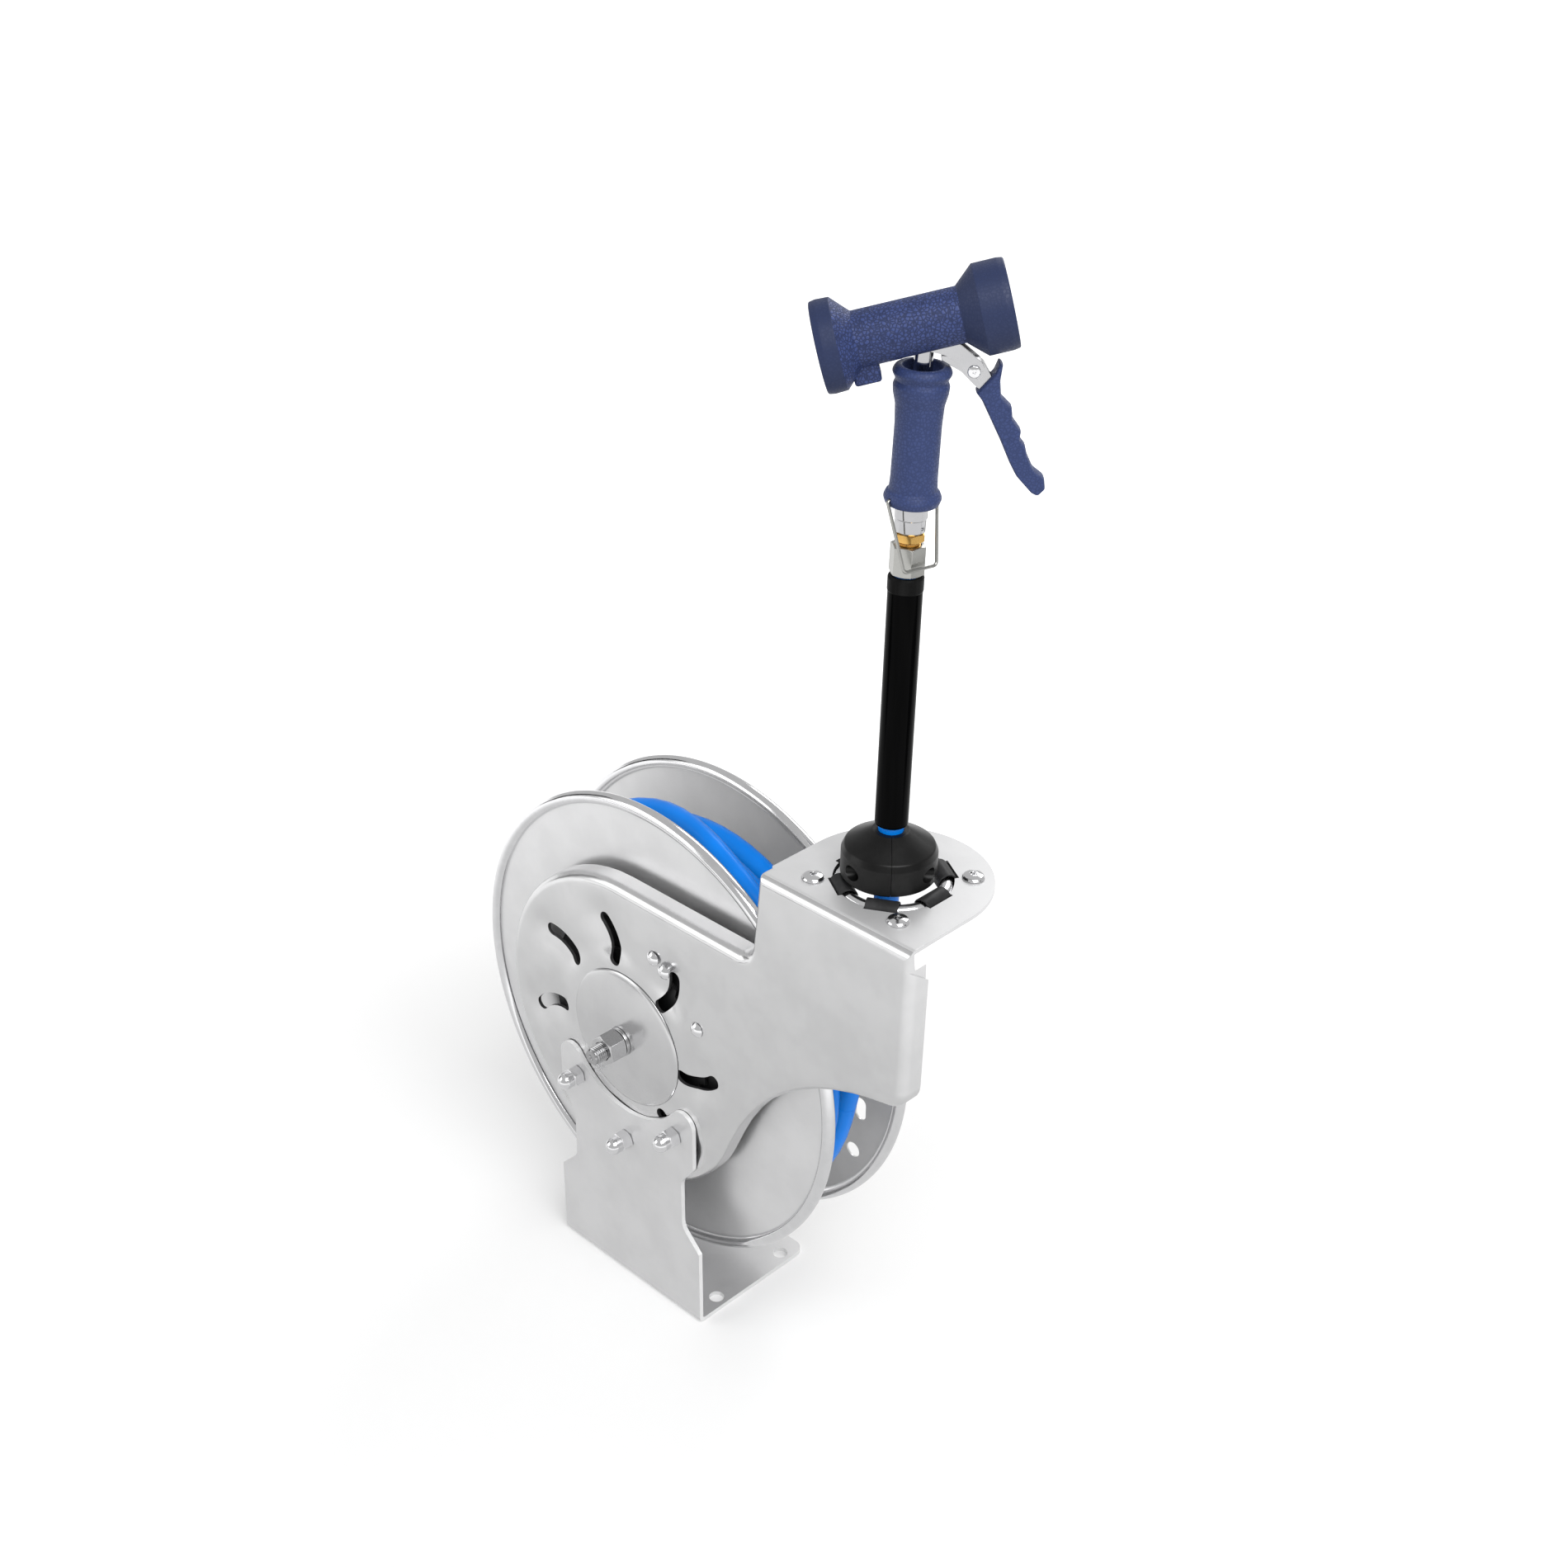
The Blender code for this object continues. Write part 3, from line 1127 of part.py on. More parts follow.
def ear_outline():
    return outline(
        [
            (0.0050, 0.1680, 0.001),
            (0.0085, 0.1575, 0.003),
            (TRIGGER_X - 0.009, TRIGGER_Z - 0.0045, 0.004),
            (TRIGGER_X + 0.001, TRIGGER_Z - 0.0085, 0.006),
            (TRIGGER_X + 0.0085, TRIGGER_Z - 0.0005, 0.006),
            (TRIGGER_X + 0.002, TRIGGER_Z + 0.0100, 0.004),
            (0.0280, 0.1735, 0.001),
        ]
    )


def build_gun(collar_top):
    """Metal body: handle tube, stem, barrel core and the two ears of the trigger's bracket."""
    handle_top = BAIL_RISE - 0.0055 + GRIP_L - 0.006
    stem_top = BARREL_RISE
    section = [
        (0, stem_top),
        (STEM_R, stem_top),
        (STEM_R, handle_top),
        (HANDLE_R, handle_top - 0.002),
        (HANDLE_R, collar_top + GAP),
        (0, collar_top + GAP),
    ]
    body = turned("gun_body", section, GUN, "polished", 20)
    core_front = BARREL_FRONT - 0.009
    core_rear = -BARREL_REAR + 0.016
    core = cylinder("add_barrel_core", BARREL_CORE_R, core_rear, core_front, BARREL)
    half = LEVER_W / 2 + 0.0008
    ears = [
        plate(f"add_ear_{i}", ear_outline(), low, low + EAR_T, GUN, None, UPRIGHT)
        for i, low in enumerate((-half - EAR_T, half))
    ]
    combine(body, [core, *ears], "UNION")
    rod_turn = Matrix.Translation((VALVE_ROD_X, 0, 0))
    rod_low = TRIGGER_Z + LEVER_ARM_RISE * LEVER_REACH + 0.0008
    rod_bore, bore_end = VALVE_ROD_R + GAP, rod_low + VALVE_ROD_L + 0.0125
    across = Matrix.Rotation(math.radians(90), 4, "X")
    tools = [
        cylinder("cut_pin", PIN_R + GAP, -0.02, 0.02, TRIGGER, segments=12, turn=across),
        cylinder("cut_rod_bore", rod_bore, rod_low, bore_end, GUN, segments=12, turn=rod_turn),
        cylinder("cut_water_way", 0.004, 0.02, 0.1, BARREL, segments=12),
    ]
    combine(body, tools)
    cylinder("valve_rod", VALVE_ROD_R, rod_low, rod_low + VALVE_ROD_L, GUN, "polished", 12, turn=rod_turn)
    tip_low = core_front + GAP
    tip = [(0.004, tip_low + 0.005), (0.0105, tip_low + 0.004), (0.0115, tip_low), (0.004, tip_low)]
    turned("nozzle_tip", tip, BARREL, "polished", 20)
    pin_half = half + EAR_T + GAP
    head_r, foot = PIN_R + 0.002, -pin_half - 0.0008
    pin = [(0, pin_half + 0.0012), (head_r, pin_half + 0.0006), (head_r, pin_half)]
    pin += [(PIN_R, pin_half), (PIN_R, foot), (0, foot)]
    turned("trigger_pin", pin, TRIGGER, "polished", 12, turn=across)


def build_grip(collar_top):
    low = BAIL_RISE - 0.0060
    rim, wall, top = GRIP_RIM_R, GRIP_R, low + GRIP_L
    outside = [
        (rim - 0.0062, top),
        (rim - 0.0022, top - 0.0008),
        (rim, top - 0.0045),
        (rim - 0.0022, top - 0.0084),
        (wall + 0.0027, top - 0.0115),
        (wall + 0.0022, top - 0.0180),
        (wall + 0.0005, top - 0.0260),
        (wall, top - 0.0400),
        (wall + 0.0003, low + 0.0120),
        (rim - 0.0012, low + 0.0094),
        (rim, low + 0.0060),
        (rim - 0.0016, low + 0.0020),
        (rim - 0.0058, low),
    ]
    bore, seat = HANDLE_R + GAP, COLLAR_R + 0.0004
    inside = [(seat, low), (seat, collar_top + 0.0002), (bore, collar_top + 0.0004)]
    inside += [(bore, top - 0.0070), (rim - 0.0072, top - 0.0045)]
    cover = turned("grip_cover", outside + inside, GUN, "navy_rubber", 20)
    across = Matrix.Rotation(math.radians(90), 4, "Y")
    ends = []
    for i, reach in enumerate(((-0.03, -0.0128), (0.0128, 0.03))):
        ends.append(cylinder(f"cut_bail_{i}", BAIL_WIRE_R + GAP, *reach, BAIL, segments=10, turn=across))
    combine(cover, ends)


def build_barrel_cover():
    """Rubber cover of the barrel: a bumper at each end, a lug, and an opening underneath."""
    bore = BARREL_CORE_R + GAP
    front, rear, body = BARREL_FRONT, -BARREL_REAR, BARREL_R
    big, tail = BUMPER_FRONT_R, BUMPER_REAR_R
    blind = rear + 0.016 - GAP
    section = [
        (0, blind),
        (bore, blind),
        (bore, front - 0.0035),
        (bore + 0.0025, front - 0.0003),
        (big - 0.0045, front),
        (big, front - 0.0042),
        (big, front - 0.0208),
        (body, front - 0.0335),
        (body + 0.0002, rear + 0.0250),
        (tail - 0.0006, rear + 0.0136),
        (tail, rear + 0.0050),
        (tail - 0.0016, rear + 0.0014),
        (tail - 0.0050, rear),
        (0, rear - 0.0004),
    ]
    cover = turned("barrel_cover", section, BARREL, "navy_rubber", 24)
    # In the barrel's frame X is down and Z is forward.
    low, high = (BARREL_CORE_R + 0.002, -0.0085, rear + 0.018), (0.0290, 0.0085, rear + 0.0360)
    lug = box("add_lug", low, high, BARREL)
    bevel = lug.modifiers.new("rounding", "BEVEL")
    bevel.width = 0.002
    bevel.segments = 2
    combine(cover, [lug], "UNION")
    half = LEVER_W / 2 + EAR_T + 0.0016
    opening = box("cut_under", (0.006, -half, -0.0200), (0.040, half, front - 0.0275), BARREL)
    combine(cover, [opening])


def lever_outline(inset=0.0):
    """Trigger lever from the side, about its pivot: arm to the valve rod, boss, and blade."""
    shape = [
        (-0.314, LEVER_ARM_RISE, 0.011),
        (-0.307, 0.079, 0.021),
        (-0.114, -0.021, 0.086),
        (0.007, -0.136, 0.143),
        (0.100, -0.207, 0.057),
        (0.186, -0.307, 0.086),
        (0.293, -0.536, 0.286),
        (0.497, -0.929, 0.286),
        (0.550, -1.000, 0.021),
        (0.600, -0.964, 0.021),
        (0.364, -0.493, 0.286),
        (0.236, -0.236, 0.086),
        (0.183, -0.071, 0.057),
        (0.086, 0.089, 0.086),
        (-0.143, 0.121, 0.143),
    ]
    return outline([(x * LEVER_REACH, z * LEVER_REACH, r * LEVER_REACH) for x, z, r in shape], inset)


def cover_outline():
    """The lever's rubber from the side: hook, four finger grooves, and toe."""
    shape = [
        (0.037, -0.211, 0.014),
        (0.099, -0.286, 0.086),
        (0.297, -0.650, 0.714),
        (0.414, -0.886, 0.429),
        (0.490, -1.014, 0.171),
        (0.646, -1.174, 0.057),
        (0.714, -1.207, 0.043),
        (0.783, -1.129, 0.029),
        (0.764, -1.026, 0.043),
        (0.650, -0.943, 0.100),
        (0.579, -0.807, 0.114),
        (0.550, -0.714, 0.029),
        (0.493, -0.650, 0.043),
        (0.497, -0.569, 0.029),
        (0.407, -0.457, 0.057),
        (0.389, -0.343, 0.029),
        (0.279, -0.243, 0.071),
        (0.257, -0.086, 0.114),
        (0.269, 0.064, 0.017),
        (0.231, 0.100, 0.017),
        (0.193, -0.014, 0.086),
    ]
    return outline([(x * LEVER_REACH, z * LEVER_REACH, r * LEVER_REACH) for x, z, r in shape])


def build_trigger():
    blade = plate("trigger_lever", lever_outline(), -LEVER_W / 2, LEVER_W / 2, TRIGGER, "polished", UPRIGHT)
    across = Matrix.Rotation(math.radians(90), 4, "X")
    bore = cylinder("cut_lever_pin", PIN_R + RUNNING, -0.02, 0.02, TRIGGER, segments=12, turn=across)
    combine(blade, [bore])
    half = TRIGGER_W / 2
    cover = plate("trigger_cover", cover_outline(), -half, half, TRIGGER, "navy_rubber", UPRIGHT)
    rounding = cover.modifiers.new("rounding", "BEVEL")
    rounding.width = 0.0016
    rounding.segments = 1
    rounding.limit_method = "ANGLE"
    rounding.angle_limit = math.radians(60)
    half = LEVER_W / 2 + GAP
    pocket = plate("cut_lever_pocket", lever_outline(-GAP), -half, half, TRIGGER, None, UPRIGHT)
    combine(cover, [pocket])


def build_bail():
    """Wire bail whose ends turn in the grip's lower rim. It leans on the ferrule."""
    inner, side = 0.0142, GRIP_RIM_R + BAIL_WIRE_R + 0.0006
    bar = BAIL_BAR_HALF
    half_path = [(inner, 0), (side - 0.0012, 0), (side, -0.0016)]
    half_path += [(bar + 0.0012, -BAIL_L + 0.0035), (bar - 0.0022, -BAIL_L)]
    path = [(x, 0, z) for x, z in half_path]
    path += [(-x, 0, z) for x, z in reversed(half_path)]
    smooth(tube("lock_bail", path, BAIL_WIRE_R, BAIL_WIRE, "polished", 2))


# ---------------------------------------------------------------- assembly
for old in list(bpy.data.objects):
    bpy.data.objects.remove(old, do_unlink=True)

PARTS = bpy.data.collections.new("hose_reel")
CUTTERS = bpy.data.collections.new("cutters")
for holder in (PARTS, CUTTERS):
    bpy.context.scene.collection.children.link(holder)

# Outlines drawn in XZ, seen from the front, and in YZ, seen from the arm's end.
UPRIGHT = Matrix.Rotation(math.radians(90), 4, "X")
ACROSS = Matrix(((0, 0, 1, 0), (1, 0, 0, 0), (0, 1, 0, 0), (0, 0, 0, 1)))
WORLD = frame("reel", Matrix.Identity(4))
# The axle's frame: X is world X, Y is world Z, and Z points to the front, world -Y.
AXLE = frame("axle_line", Matrix.Translation((0, 0, AXLE_Z)) @ UPRIGHT, WORLD)
GUIDE = frame("ring_centre", Matrix.Translation((RING_X, RING_Y, RING_Z)), WORLD)
STOP_TURN = Matrix.Rotation(VIEW_TURN, 4, "Z") @ Matrix.Translation((STOP_SHIFT, 0, 0))
STOP_TURN = STOP_TURN @ Matrix.Rotation(STOP_LEAN, 4, "Y")
STOP = frame("hose_line", Matrix.Translation((RING_X, RING_Y, STOP_Z)) @ STOP_TURN, WORLD)
GUN_TURN = Matrix.Rotation(GUN_LEAN, 4, "Y")
GUN = frame("gun_line", Matrix.Translation((0, 0, SLEEVE_TOP_Z - STOP_Z)) @ GUN_TURN, STOP)
BARREL_TURN = Matrix.Rotation(math.radians(90) - BARREL_TILT, 4, "Y")
BARREL = frame("barrel_line", Matrix.Translation((0, 0, BARREL_RISE)) @ BARREL_TURN, GUN)
TRIGGER = frame("trigger_pivot", Matrix.Translation((TRIGGER_X, 0, TRIGGER_Z)), GUN)
BAIL = frame("bail_pivot", Matrix.Translation((0, 0, BAIL_RISE)) @ Matrix.Rotation(BAIL_TURN, 4, "Z"), GUN)
BAIL_WIRE = frame("bail_swing", Matrix.Rotation(-BAIL_SWING, 4, "X"), BAIL)

build_bracket()
build_arm()
hub_dish()
build_guide()
build_axle()
build_spool()
build_spring_and_ratchet()
build_winding()
build_swivel()
build_hose_end()
collar_end = build_couplings()
build_gun(collar_end)
build_grip(collar_end)
build_barrel_cover()
build_trigger()
build_bail()
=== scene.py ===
from math import acos, asin, atan2, ceil, cos, degrees, exp, hypot, pi, radians, sin, sqrt, tan, tau

import bmesh
import bpy
from mathutils import Matrix, Vector


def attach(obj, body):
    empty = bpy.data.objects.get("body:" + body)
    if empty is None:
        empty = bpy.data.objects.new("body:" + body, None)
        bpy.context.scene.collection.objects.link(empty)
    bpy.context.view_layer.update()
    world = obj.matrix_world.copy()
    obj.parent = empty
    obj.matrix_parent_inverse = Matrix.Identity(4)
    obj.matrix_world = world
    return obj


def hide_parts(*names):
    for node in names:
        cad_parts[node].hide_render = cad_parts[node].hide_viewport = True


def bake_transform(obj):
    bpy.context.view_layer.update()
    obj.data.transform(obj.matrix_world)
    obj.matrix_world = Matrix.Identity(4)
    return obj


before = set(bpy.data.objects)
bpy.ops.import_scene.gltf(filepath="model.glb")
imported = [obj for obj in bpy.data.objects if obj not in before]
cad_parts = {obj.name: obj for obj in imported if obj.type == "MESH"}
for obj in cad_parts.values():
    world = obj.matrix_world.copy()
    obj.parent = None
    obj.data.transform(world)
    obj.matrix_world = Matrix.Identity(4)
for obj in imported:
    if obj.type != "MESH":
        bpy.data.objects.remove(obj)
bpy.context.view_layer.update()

# ---- sizes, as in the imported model
GAP = 0.0003
AXLE_Z = 0.2583
FLANGE_R, RIM_BEAD_R, FLANGE_T = 0.210, 0.0055, 0.0015
NEAR_FLANGE_Y, SPOOL_WIDTH = -0.0325, 0.0849
FAR_FLANGE_Y = NEAR_FLANGE_Y + SPOOL_WIDTH + FLANGE_T
NEAR_FACE, FAR_FACE = -(NEAR_FLANGE_Y + FLANGE_T / 2) - GAP, -(FAR_FLANGE_Y - FLANGE_T / 2) + GAP
BOSS_R, BOSS_DEPTH, BUSH_WALL = 0.040, 0.0125, 0.0042
FAR_SLOT_REACH, FAR_SLOT_ANGLE, FAR_SLOT_HALF, FAR_SLOT_R = 0.1695, radians(-17), 0.011, 0.0057
FAR_HOLE_REACH, FAR_HOLE_ANGLE, FAR_HOLE_R = 0.1825, radians(-32), 0.007
HOSE_R, DRUM_R, DRUM_WALL, LAYER_RISE = 0.0095, 0.098, 0.002, 0.0165
WIND_R = DRUM_R + HOSE_R + GAP + 4 * LAYER_RISE
UNDER_R = WIND_R - 2 * HOSE_R - GAP
WOUND_TURNS, TURN_STEP, LEAVE_Y = 2.6, 0.021, 0.021
CROSSING_END, CROSSING_SPAN = radians(110), radians(55)
OUTER_SWEEP = WOUND_TURNS * tau
WOUND_SWEEP = OUTER_SWEEP + radians(355) + 3 * tau
UNDER_CROSSING, LAYER_CHANGE, TAIL_DIP, TAIL_SPAN = radians(300), radians(50), 0.021, radians(60)

BRACKET_HALF, BRACKET_T, BRACKET_FRONT_Y = 0.0885, 0.004, -0.066
FOOT_DEPTH, FOOT_CORNER_R, BEND_R = 0.132, 0.011, 0.006
BLOCK_TOP, WAIST_HALF, WAIST_LOW, WAIST_HIGH, WAIST_R = 0.077, 0.068, 0.095, 0.146, 0.016
HORN_HALF, HORN_FOOT, HORN_TIP_R = 0.0835, 0.166, 0.0135
CRADLE_R, CRADLE_END = 0.074, radians(-38)
FOOT_HOLE_R, FOOT_HOLE_X, FOOT_HOLE_Y = 0.0066, 0.0777, (-0.0355, 0.0445)

ARM_T, ARM_DEPTH, ARM_ROLL = 0.003, 0.0197, 0.008
ARM_DISC, ARM_DISC_R = (-0.007, 0.0035), 0.1425
GUIDE_RISE, ARM_END_X, ARM_END_TAPER = 0.2272, 0.3075, 0.004
ARM_FOOT_Z, ARM_FOOT_R, ARM_HEEL_END, ARM_HEEL_REACH = 0.0866, 0.019, radians(292), 0.047
ARM_WAIST_XZ, ARM_WAIST_R, ARM_NECK_X, ARM_NECK_R = (0.165, 0.0572), 0.215, 0.0085, 0.014
NOTCH_DROP, NOTCH_FALL = 0.0155, 0.0150
SLOT_CENTRE = (-0.0078, -0.0018)
SLOT_ANGLES = [radians(a) for a in (3.6, 53.3, 99.3, 143.5, 191.2, 233, 275, 317)]
SLOT_IN_R, SLOT_OUT_R, SLOT_HALF_W = 0.0750, 0.1087, 0.0060
SLOT_SAG, SLOT_TWIST = 0.0042, radians(6.2)
HIDDEN_SLOTS, HIDDEN_SLOT_IN_R = (5, 6), 0.0805
DIMPLE_DEPTH, DIMPLE_SPREAD, DIMPLE_EASE, DIMPLE_CUTS = 0.0040, 0.0125, 0.016, 60
ARM_FACE_Y = BRACKET_FRONT_Y + BRACKET_T + GAP
ARM_INNER_Y = ARM_FACE_Y + ARM_T
ARM_BACK_Y = ARM_FACE_Y + ARM_DEPTH

RING_X, RING_Y, GUIDE_HALF = 0.2288, 0.0065, 0.0752
RING_R, ROD_R, RING_DROP = 0.0396, 0.0053, 0.0045
ROLLER_R, ROLLER_L, ROLLER_SPACE = 0.008, 0.0245, 0.0004
ROLLER_CHORD = sqrt(RING_R**2 - (ROLLER_L / 2) ** 2)
ROLLER_REACH = (RING_R + ROLLER_CHORD) / 2
ROLLER_BORE_R = ROD_R * RING_R / ROLLER_CHORD + (RING_R - ROLLER_CHORD) / 2 + GAP
RETAINER_R, RETAINER_T = 0.065, 0.0025
GUIDE_SCREW_XY, GUIDE_HEAD_R, GUIDE_HEAD_H, GUIDE_SHANK_R = 0.0420, 0.0087, 0.0036, 0.0025
PLATE_TOP_Z = AXLE_Z + GUIDE_RISE
RING_Z = PLATE_TOP_Z - RING_DROP
STOP_Z = RING_Z + ROLLER_R + 0.0013

HUB_DISH_R, HUB_DISH_RISE, HUB_DISH_T, HUB_DISH_POWER = 0.0632, 0.0055, 0.0015, 2.2
THREAD_R, JOURNAL_R, SPIGOT_R, AXLE_OUT = 0.008, 0.0125, 0.009, 0.0325
AXLE_PITCH, NIPPLE_PITCH = 0.0020, 0.0014
NUT_AF, NUT_H, WASHER_R, WASHER_T = 0.0246, 0.0170, 0.0132, 0.0030
STUD_XZ = ((-0.0605, -0.0675), (0.0, -0.1043), (0.0605, -0.0675))
STUD_R, STUD_OUT, CAP_AF, CAP_HEX_L = 0.004, 0.0075, 0.0158, 0.0098
CAP_DOME_R, CAP_DOME_RISE, CAP_TURNS = 0.0076, 0.0142, (8, 21, 14)
RIVET_XZ = ((0.036, 0.0965), (0.0485, 0.0894), (0.0861, 0.0517))
RIVET_HEAD_R, RIVET_R = 0.0066, 0.003
DISH_BACK_Y = ARM_FACE_Y - GAP
DISH_TOP_Y = DISH_BACK_Y - HUB_DISH_T - HUB_DISH_RISE
CASE_R, CASE_WALL, CASE_DEPTH, CASE_LIP = 0.108, 0.0015, 0.0144, 0.006
PAWL_T, PAWL_TIP_ANGLE, PAWL_LIFT = 0.0026, radians(77), radians(14)
CASE_BACK_Y = NEAR_FLANGE_Y - FLANGE_T / 2 - GAP
CASE_FRONT_Y = CASE_BACK_Y - CASE_DEPTH
PAWL_BACK, PAWL_SEAT_R = GAP - CASE_FRONT_Y, 0.0788
JOURNAL_END_Y = FAR_FLANGE_Y + 0.007
SWIVEL_Y, SWIVEL_R, SWIVEL_L = JOURNAL_END_Y + 0.0015, 0.019, 0.025
SPIGOT_END_Y = SWIVEL_Y + SWIVEL_L + 0.009
GOOSE_R, GOOSE_REACH, GOOSE_BEND, GOOSE_ANGLE = 0.0062, 0.062, 0.013, radians(205)
INLET_R, INLET_BORE_R, INLET_DROP = 0.0108, 0.0062, 0.046

VIEW_TURN, STOP_SHIFT = radians(44.1), -0.0039
STOP_LEAN, GUN_LEAN = radians(1.2), radians(1.1)
STOP_R, STOP_WALL_H, STOP_H = 0.036, 0.0235, 0.0375
CLAMP_SCREW_Y, CLAMP_HEAD_R, CLAMP_LEVEL, CLAMP_SEAT_X = 0.0215, 0.005, 0.0115, 0.017
SLEEVE_R, SLEEVE_LOW, SLEEVE_L, BAND_L = 0.0128, 0.0055, 0.1965, 0.011
SLEEVE_FOOT = STOP_H + SLEEVE_LOW
SLEEVE_HEAD = SLEEVE_FOOT + SLEEVE_L
FERRULE_AF, FERRULE_L, FERRULE_FOOT, NIPPLE_TAIL = 0.022, 0.0217, 0.0008, 0.009
NIPPLE_R, NIPPLE_AF, NIPPLE_HEX_L, NIPPLE_SHOWS = 0.0085, 0.0195, 0.006, 0.003
COLLAR_R, COLLAR_L = 0.0114, 0.0232
FERRULE_TOP = FERRULE_FOOT + FERRULE_L
NIPPLE_HEX_LOW = FERRULE_TOP + NIPPLE_SHOWS
NIPPLE_HEX_TOP = NIPPLE_HEX_LOW + NIPPLE_HEX_L
COLLAR_FOOT = NIPPLE_HEX_TOP + GAP
COLLAR_TOP = COLLAR_FOOT + COLLAR_L
GRIP_R, GRIP_L, GRIP_RIM_R, HANDLE_R, STEM_R = 0.0159, 0.097, 0.0197, 0.011, 0.0065
BARREL_RISE, BARREL_TILT, BARREL_R, BARREL_BLIND = 0.1757, radians(16.5), 0.0185, 0.016
BARREL_CORE_R, BARREL_FRONT, BARREL_REAR, BARREL_MOUTH = 0.0122, 0.056, 0.0715, 0.009
BUMPER_FRONT_R, BUMPER_REAR_R = 0.0298, 0.0308
TRIGGER_X, TRIGGER_Z, TRIGGER_W, LEVER_W = 0.0329, 0.1469, 0.0158, 0.0088
EAR_T, EAR_BOSS_R, PIN_R, BAIL_WIRE_R, BAIL_L = 0.002, 0.0070, 0.0022, 0.00125, 0.050
EAR_INNER = LEVER_W / 2 + 0.0008
VALVE_X, VALVE_R, VALVE_L = 0.0135, 0.0025, 0.0145
BAIL_TURN, BAIL_SWING, BAIL_RISE = radians(35), radians(17), 0.0570
HEX_TO_CORNER = 1 / cos(radians(30))


# ---- places
def moved(x, y, z):
    return Matrix.Translation((x, y, z))


def turned(angle, axis):
    """A turn in degrees."""
    return Matrix.Rotation(radians(angle), 4, axis)


FRONT_ON = turned(90, "X")
WORLD = Matrix.Identity(4)
ACROSS = Matrix(((0, 0, 1, 0), (1, 0, 0, 0), (0, 1, 0, 0), (0, 0, 0, 1)))
AXLE = moved(0, 0, AXLE_Z) @ FRONT_ON
TO_AXLE = AXLE.inverted()
GUIDE = moved(RING_X, RING_Y, RING_Z)
STOP = (
    moved(RING_X, RING_Y, STOP_Z) @ Matrix.Rotation(VIEW_TURN, 4, "Z")
    @ moved(STOP_SHIFT, 0, 0) @ Matrix.Rotation(STOP_LEAN, 4, "Y")
)
GUN = STOP @ moved(0, 0, SLEEVE_HEAD) @ Matrix.Rotation(GUN_LEAN, 4, "Y")
TO_GUN = GUN.inverted()
BARREL = GUN @ moved(0, 0, BARREL_RISE) @ Matrix.Rotation(radians(90) - BARREL_TILT, 4, "Y")
TRIGGER = GUN @ moved(TRIGGER_X, 0, TRIGGER_Z)
BAIL = GUN @ moved(0, 0, BAIL_RISE) @ Matrix.Rotation(BAIL_TURN, 4, "Z")
BAIL_WIRE = BAIL @ Matrix.Rotation(-BAIL_SWING, 4, "X")


def linked(name, data):
    item = bpy.data.objects.new(name, data)
    bpy.context.scene.collection.objects.link(item)
    return item


# ---- camera
PHOTO_SIZE, FOCAL_LENGTH, SENSOR = 1900, 2571.21, 36


def aim_camera():
    """The photograph's viewpoint, worked out from the reel's known rims and edges."""
    back = -Vector((-0.60727646, 0.62638733, -0.48872714))
    right = Vector((0, 0, 1)).cross(back).normalized()
    axes = Matrix((right, back.cross(right), back)).transposed().to_4x4()
    optics = bpy.data.cameras.new("photo_camera")
    optics.sensor_width = SENSOR
    optics.lens = SENSOR * FOCAL_LENGTH / PHOTO_SIZE
    optics.clip_start, optics.clip_end = 0.05, 60
    camera = linked("photo_camera", optics)
    camera.matrix_world = moved(1.10040, -1.00950, 1.31292) @ axes @ turned(0.3943, "Z")
    bpy.context.scene.camera = camera


aim_camera()


# ---- shader expressions
class Term:
    """A shader value. Arithmetic on it adds the Math nodes."""

    def __init__(self, nodes, socket):
        self.nodes = nodes
        self.socket = socket

    def joined(self, operation, first, second):
        return self.nodes.node("ShaderNodeMath", {"operation": operation}, (first, second))

    def __add__(self, other):
        return self.joined("ADD", self, other)

    def __radd__(self, other):
        return self.joined("ADD", other, self)

    def __sub__(self, other):
        return self.joined("SUBTRACT", self, other)

    def __rsub__(self, other):
        return self.joined("SUBTRACT", other, self)

    def __mul__(self, other):
        return self.joined("MULTIPLY", self, other)

    def __rmul__(self, other):
        return self.joined("MULTIPLY", other, self)

    def stepped(self, low, high, out_low=0.0, out_high=1.0):
        """Smoothly out_low below low and out_high above high."""
        values = {"Value": self, "From Min": low, "From Max": high, "To Min": out_low, "To Max": out_high}
        return self.nodes.node("ShaderNodeMapRange", {"interpolation_type": "SMOOTHSTEP"}, values)


class Nodes:
    """The nodes of one material or world."""

    def __init__(self, tree):
        self.tree = tree

    def node(self, kind, settings=None, values=(), output=0):
        made = self.tree.nodes.new(kind)
        for key, value in (settings or {}).items():
            setattr(made, key, value)
        for key, value in values.items() if isinstance(values, dict) else enumerate(values):
            self.feed(made.inputs[key], value)
        return Term(self, made.outputs[output]) if made.outputs else None

    def feed(self, socket, value):
        if isinstance(value, Term):
            self.tree.links.new(value.socket, socket)
        else:
            socket.default_value = value


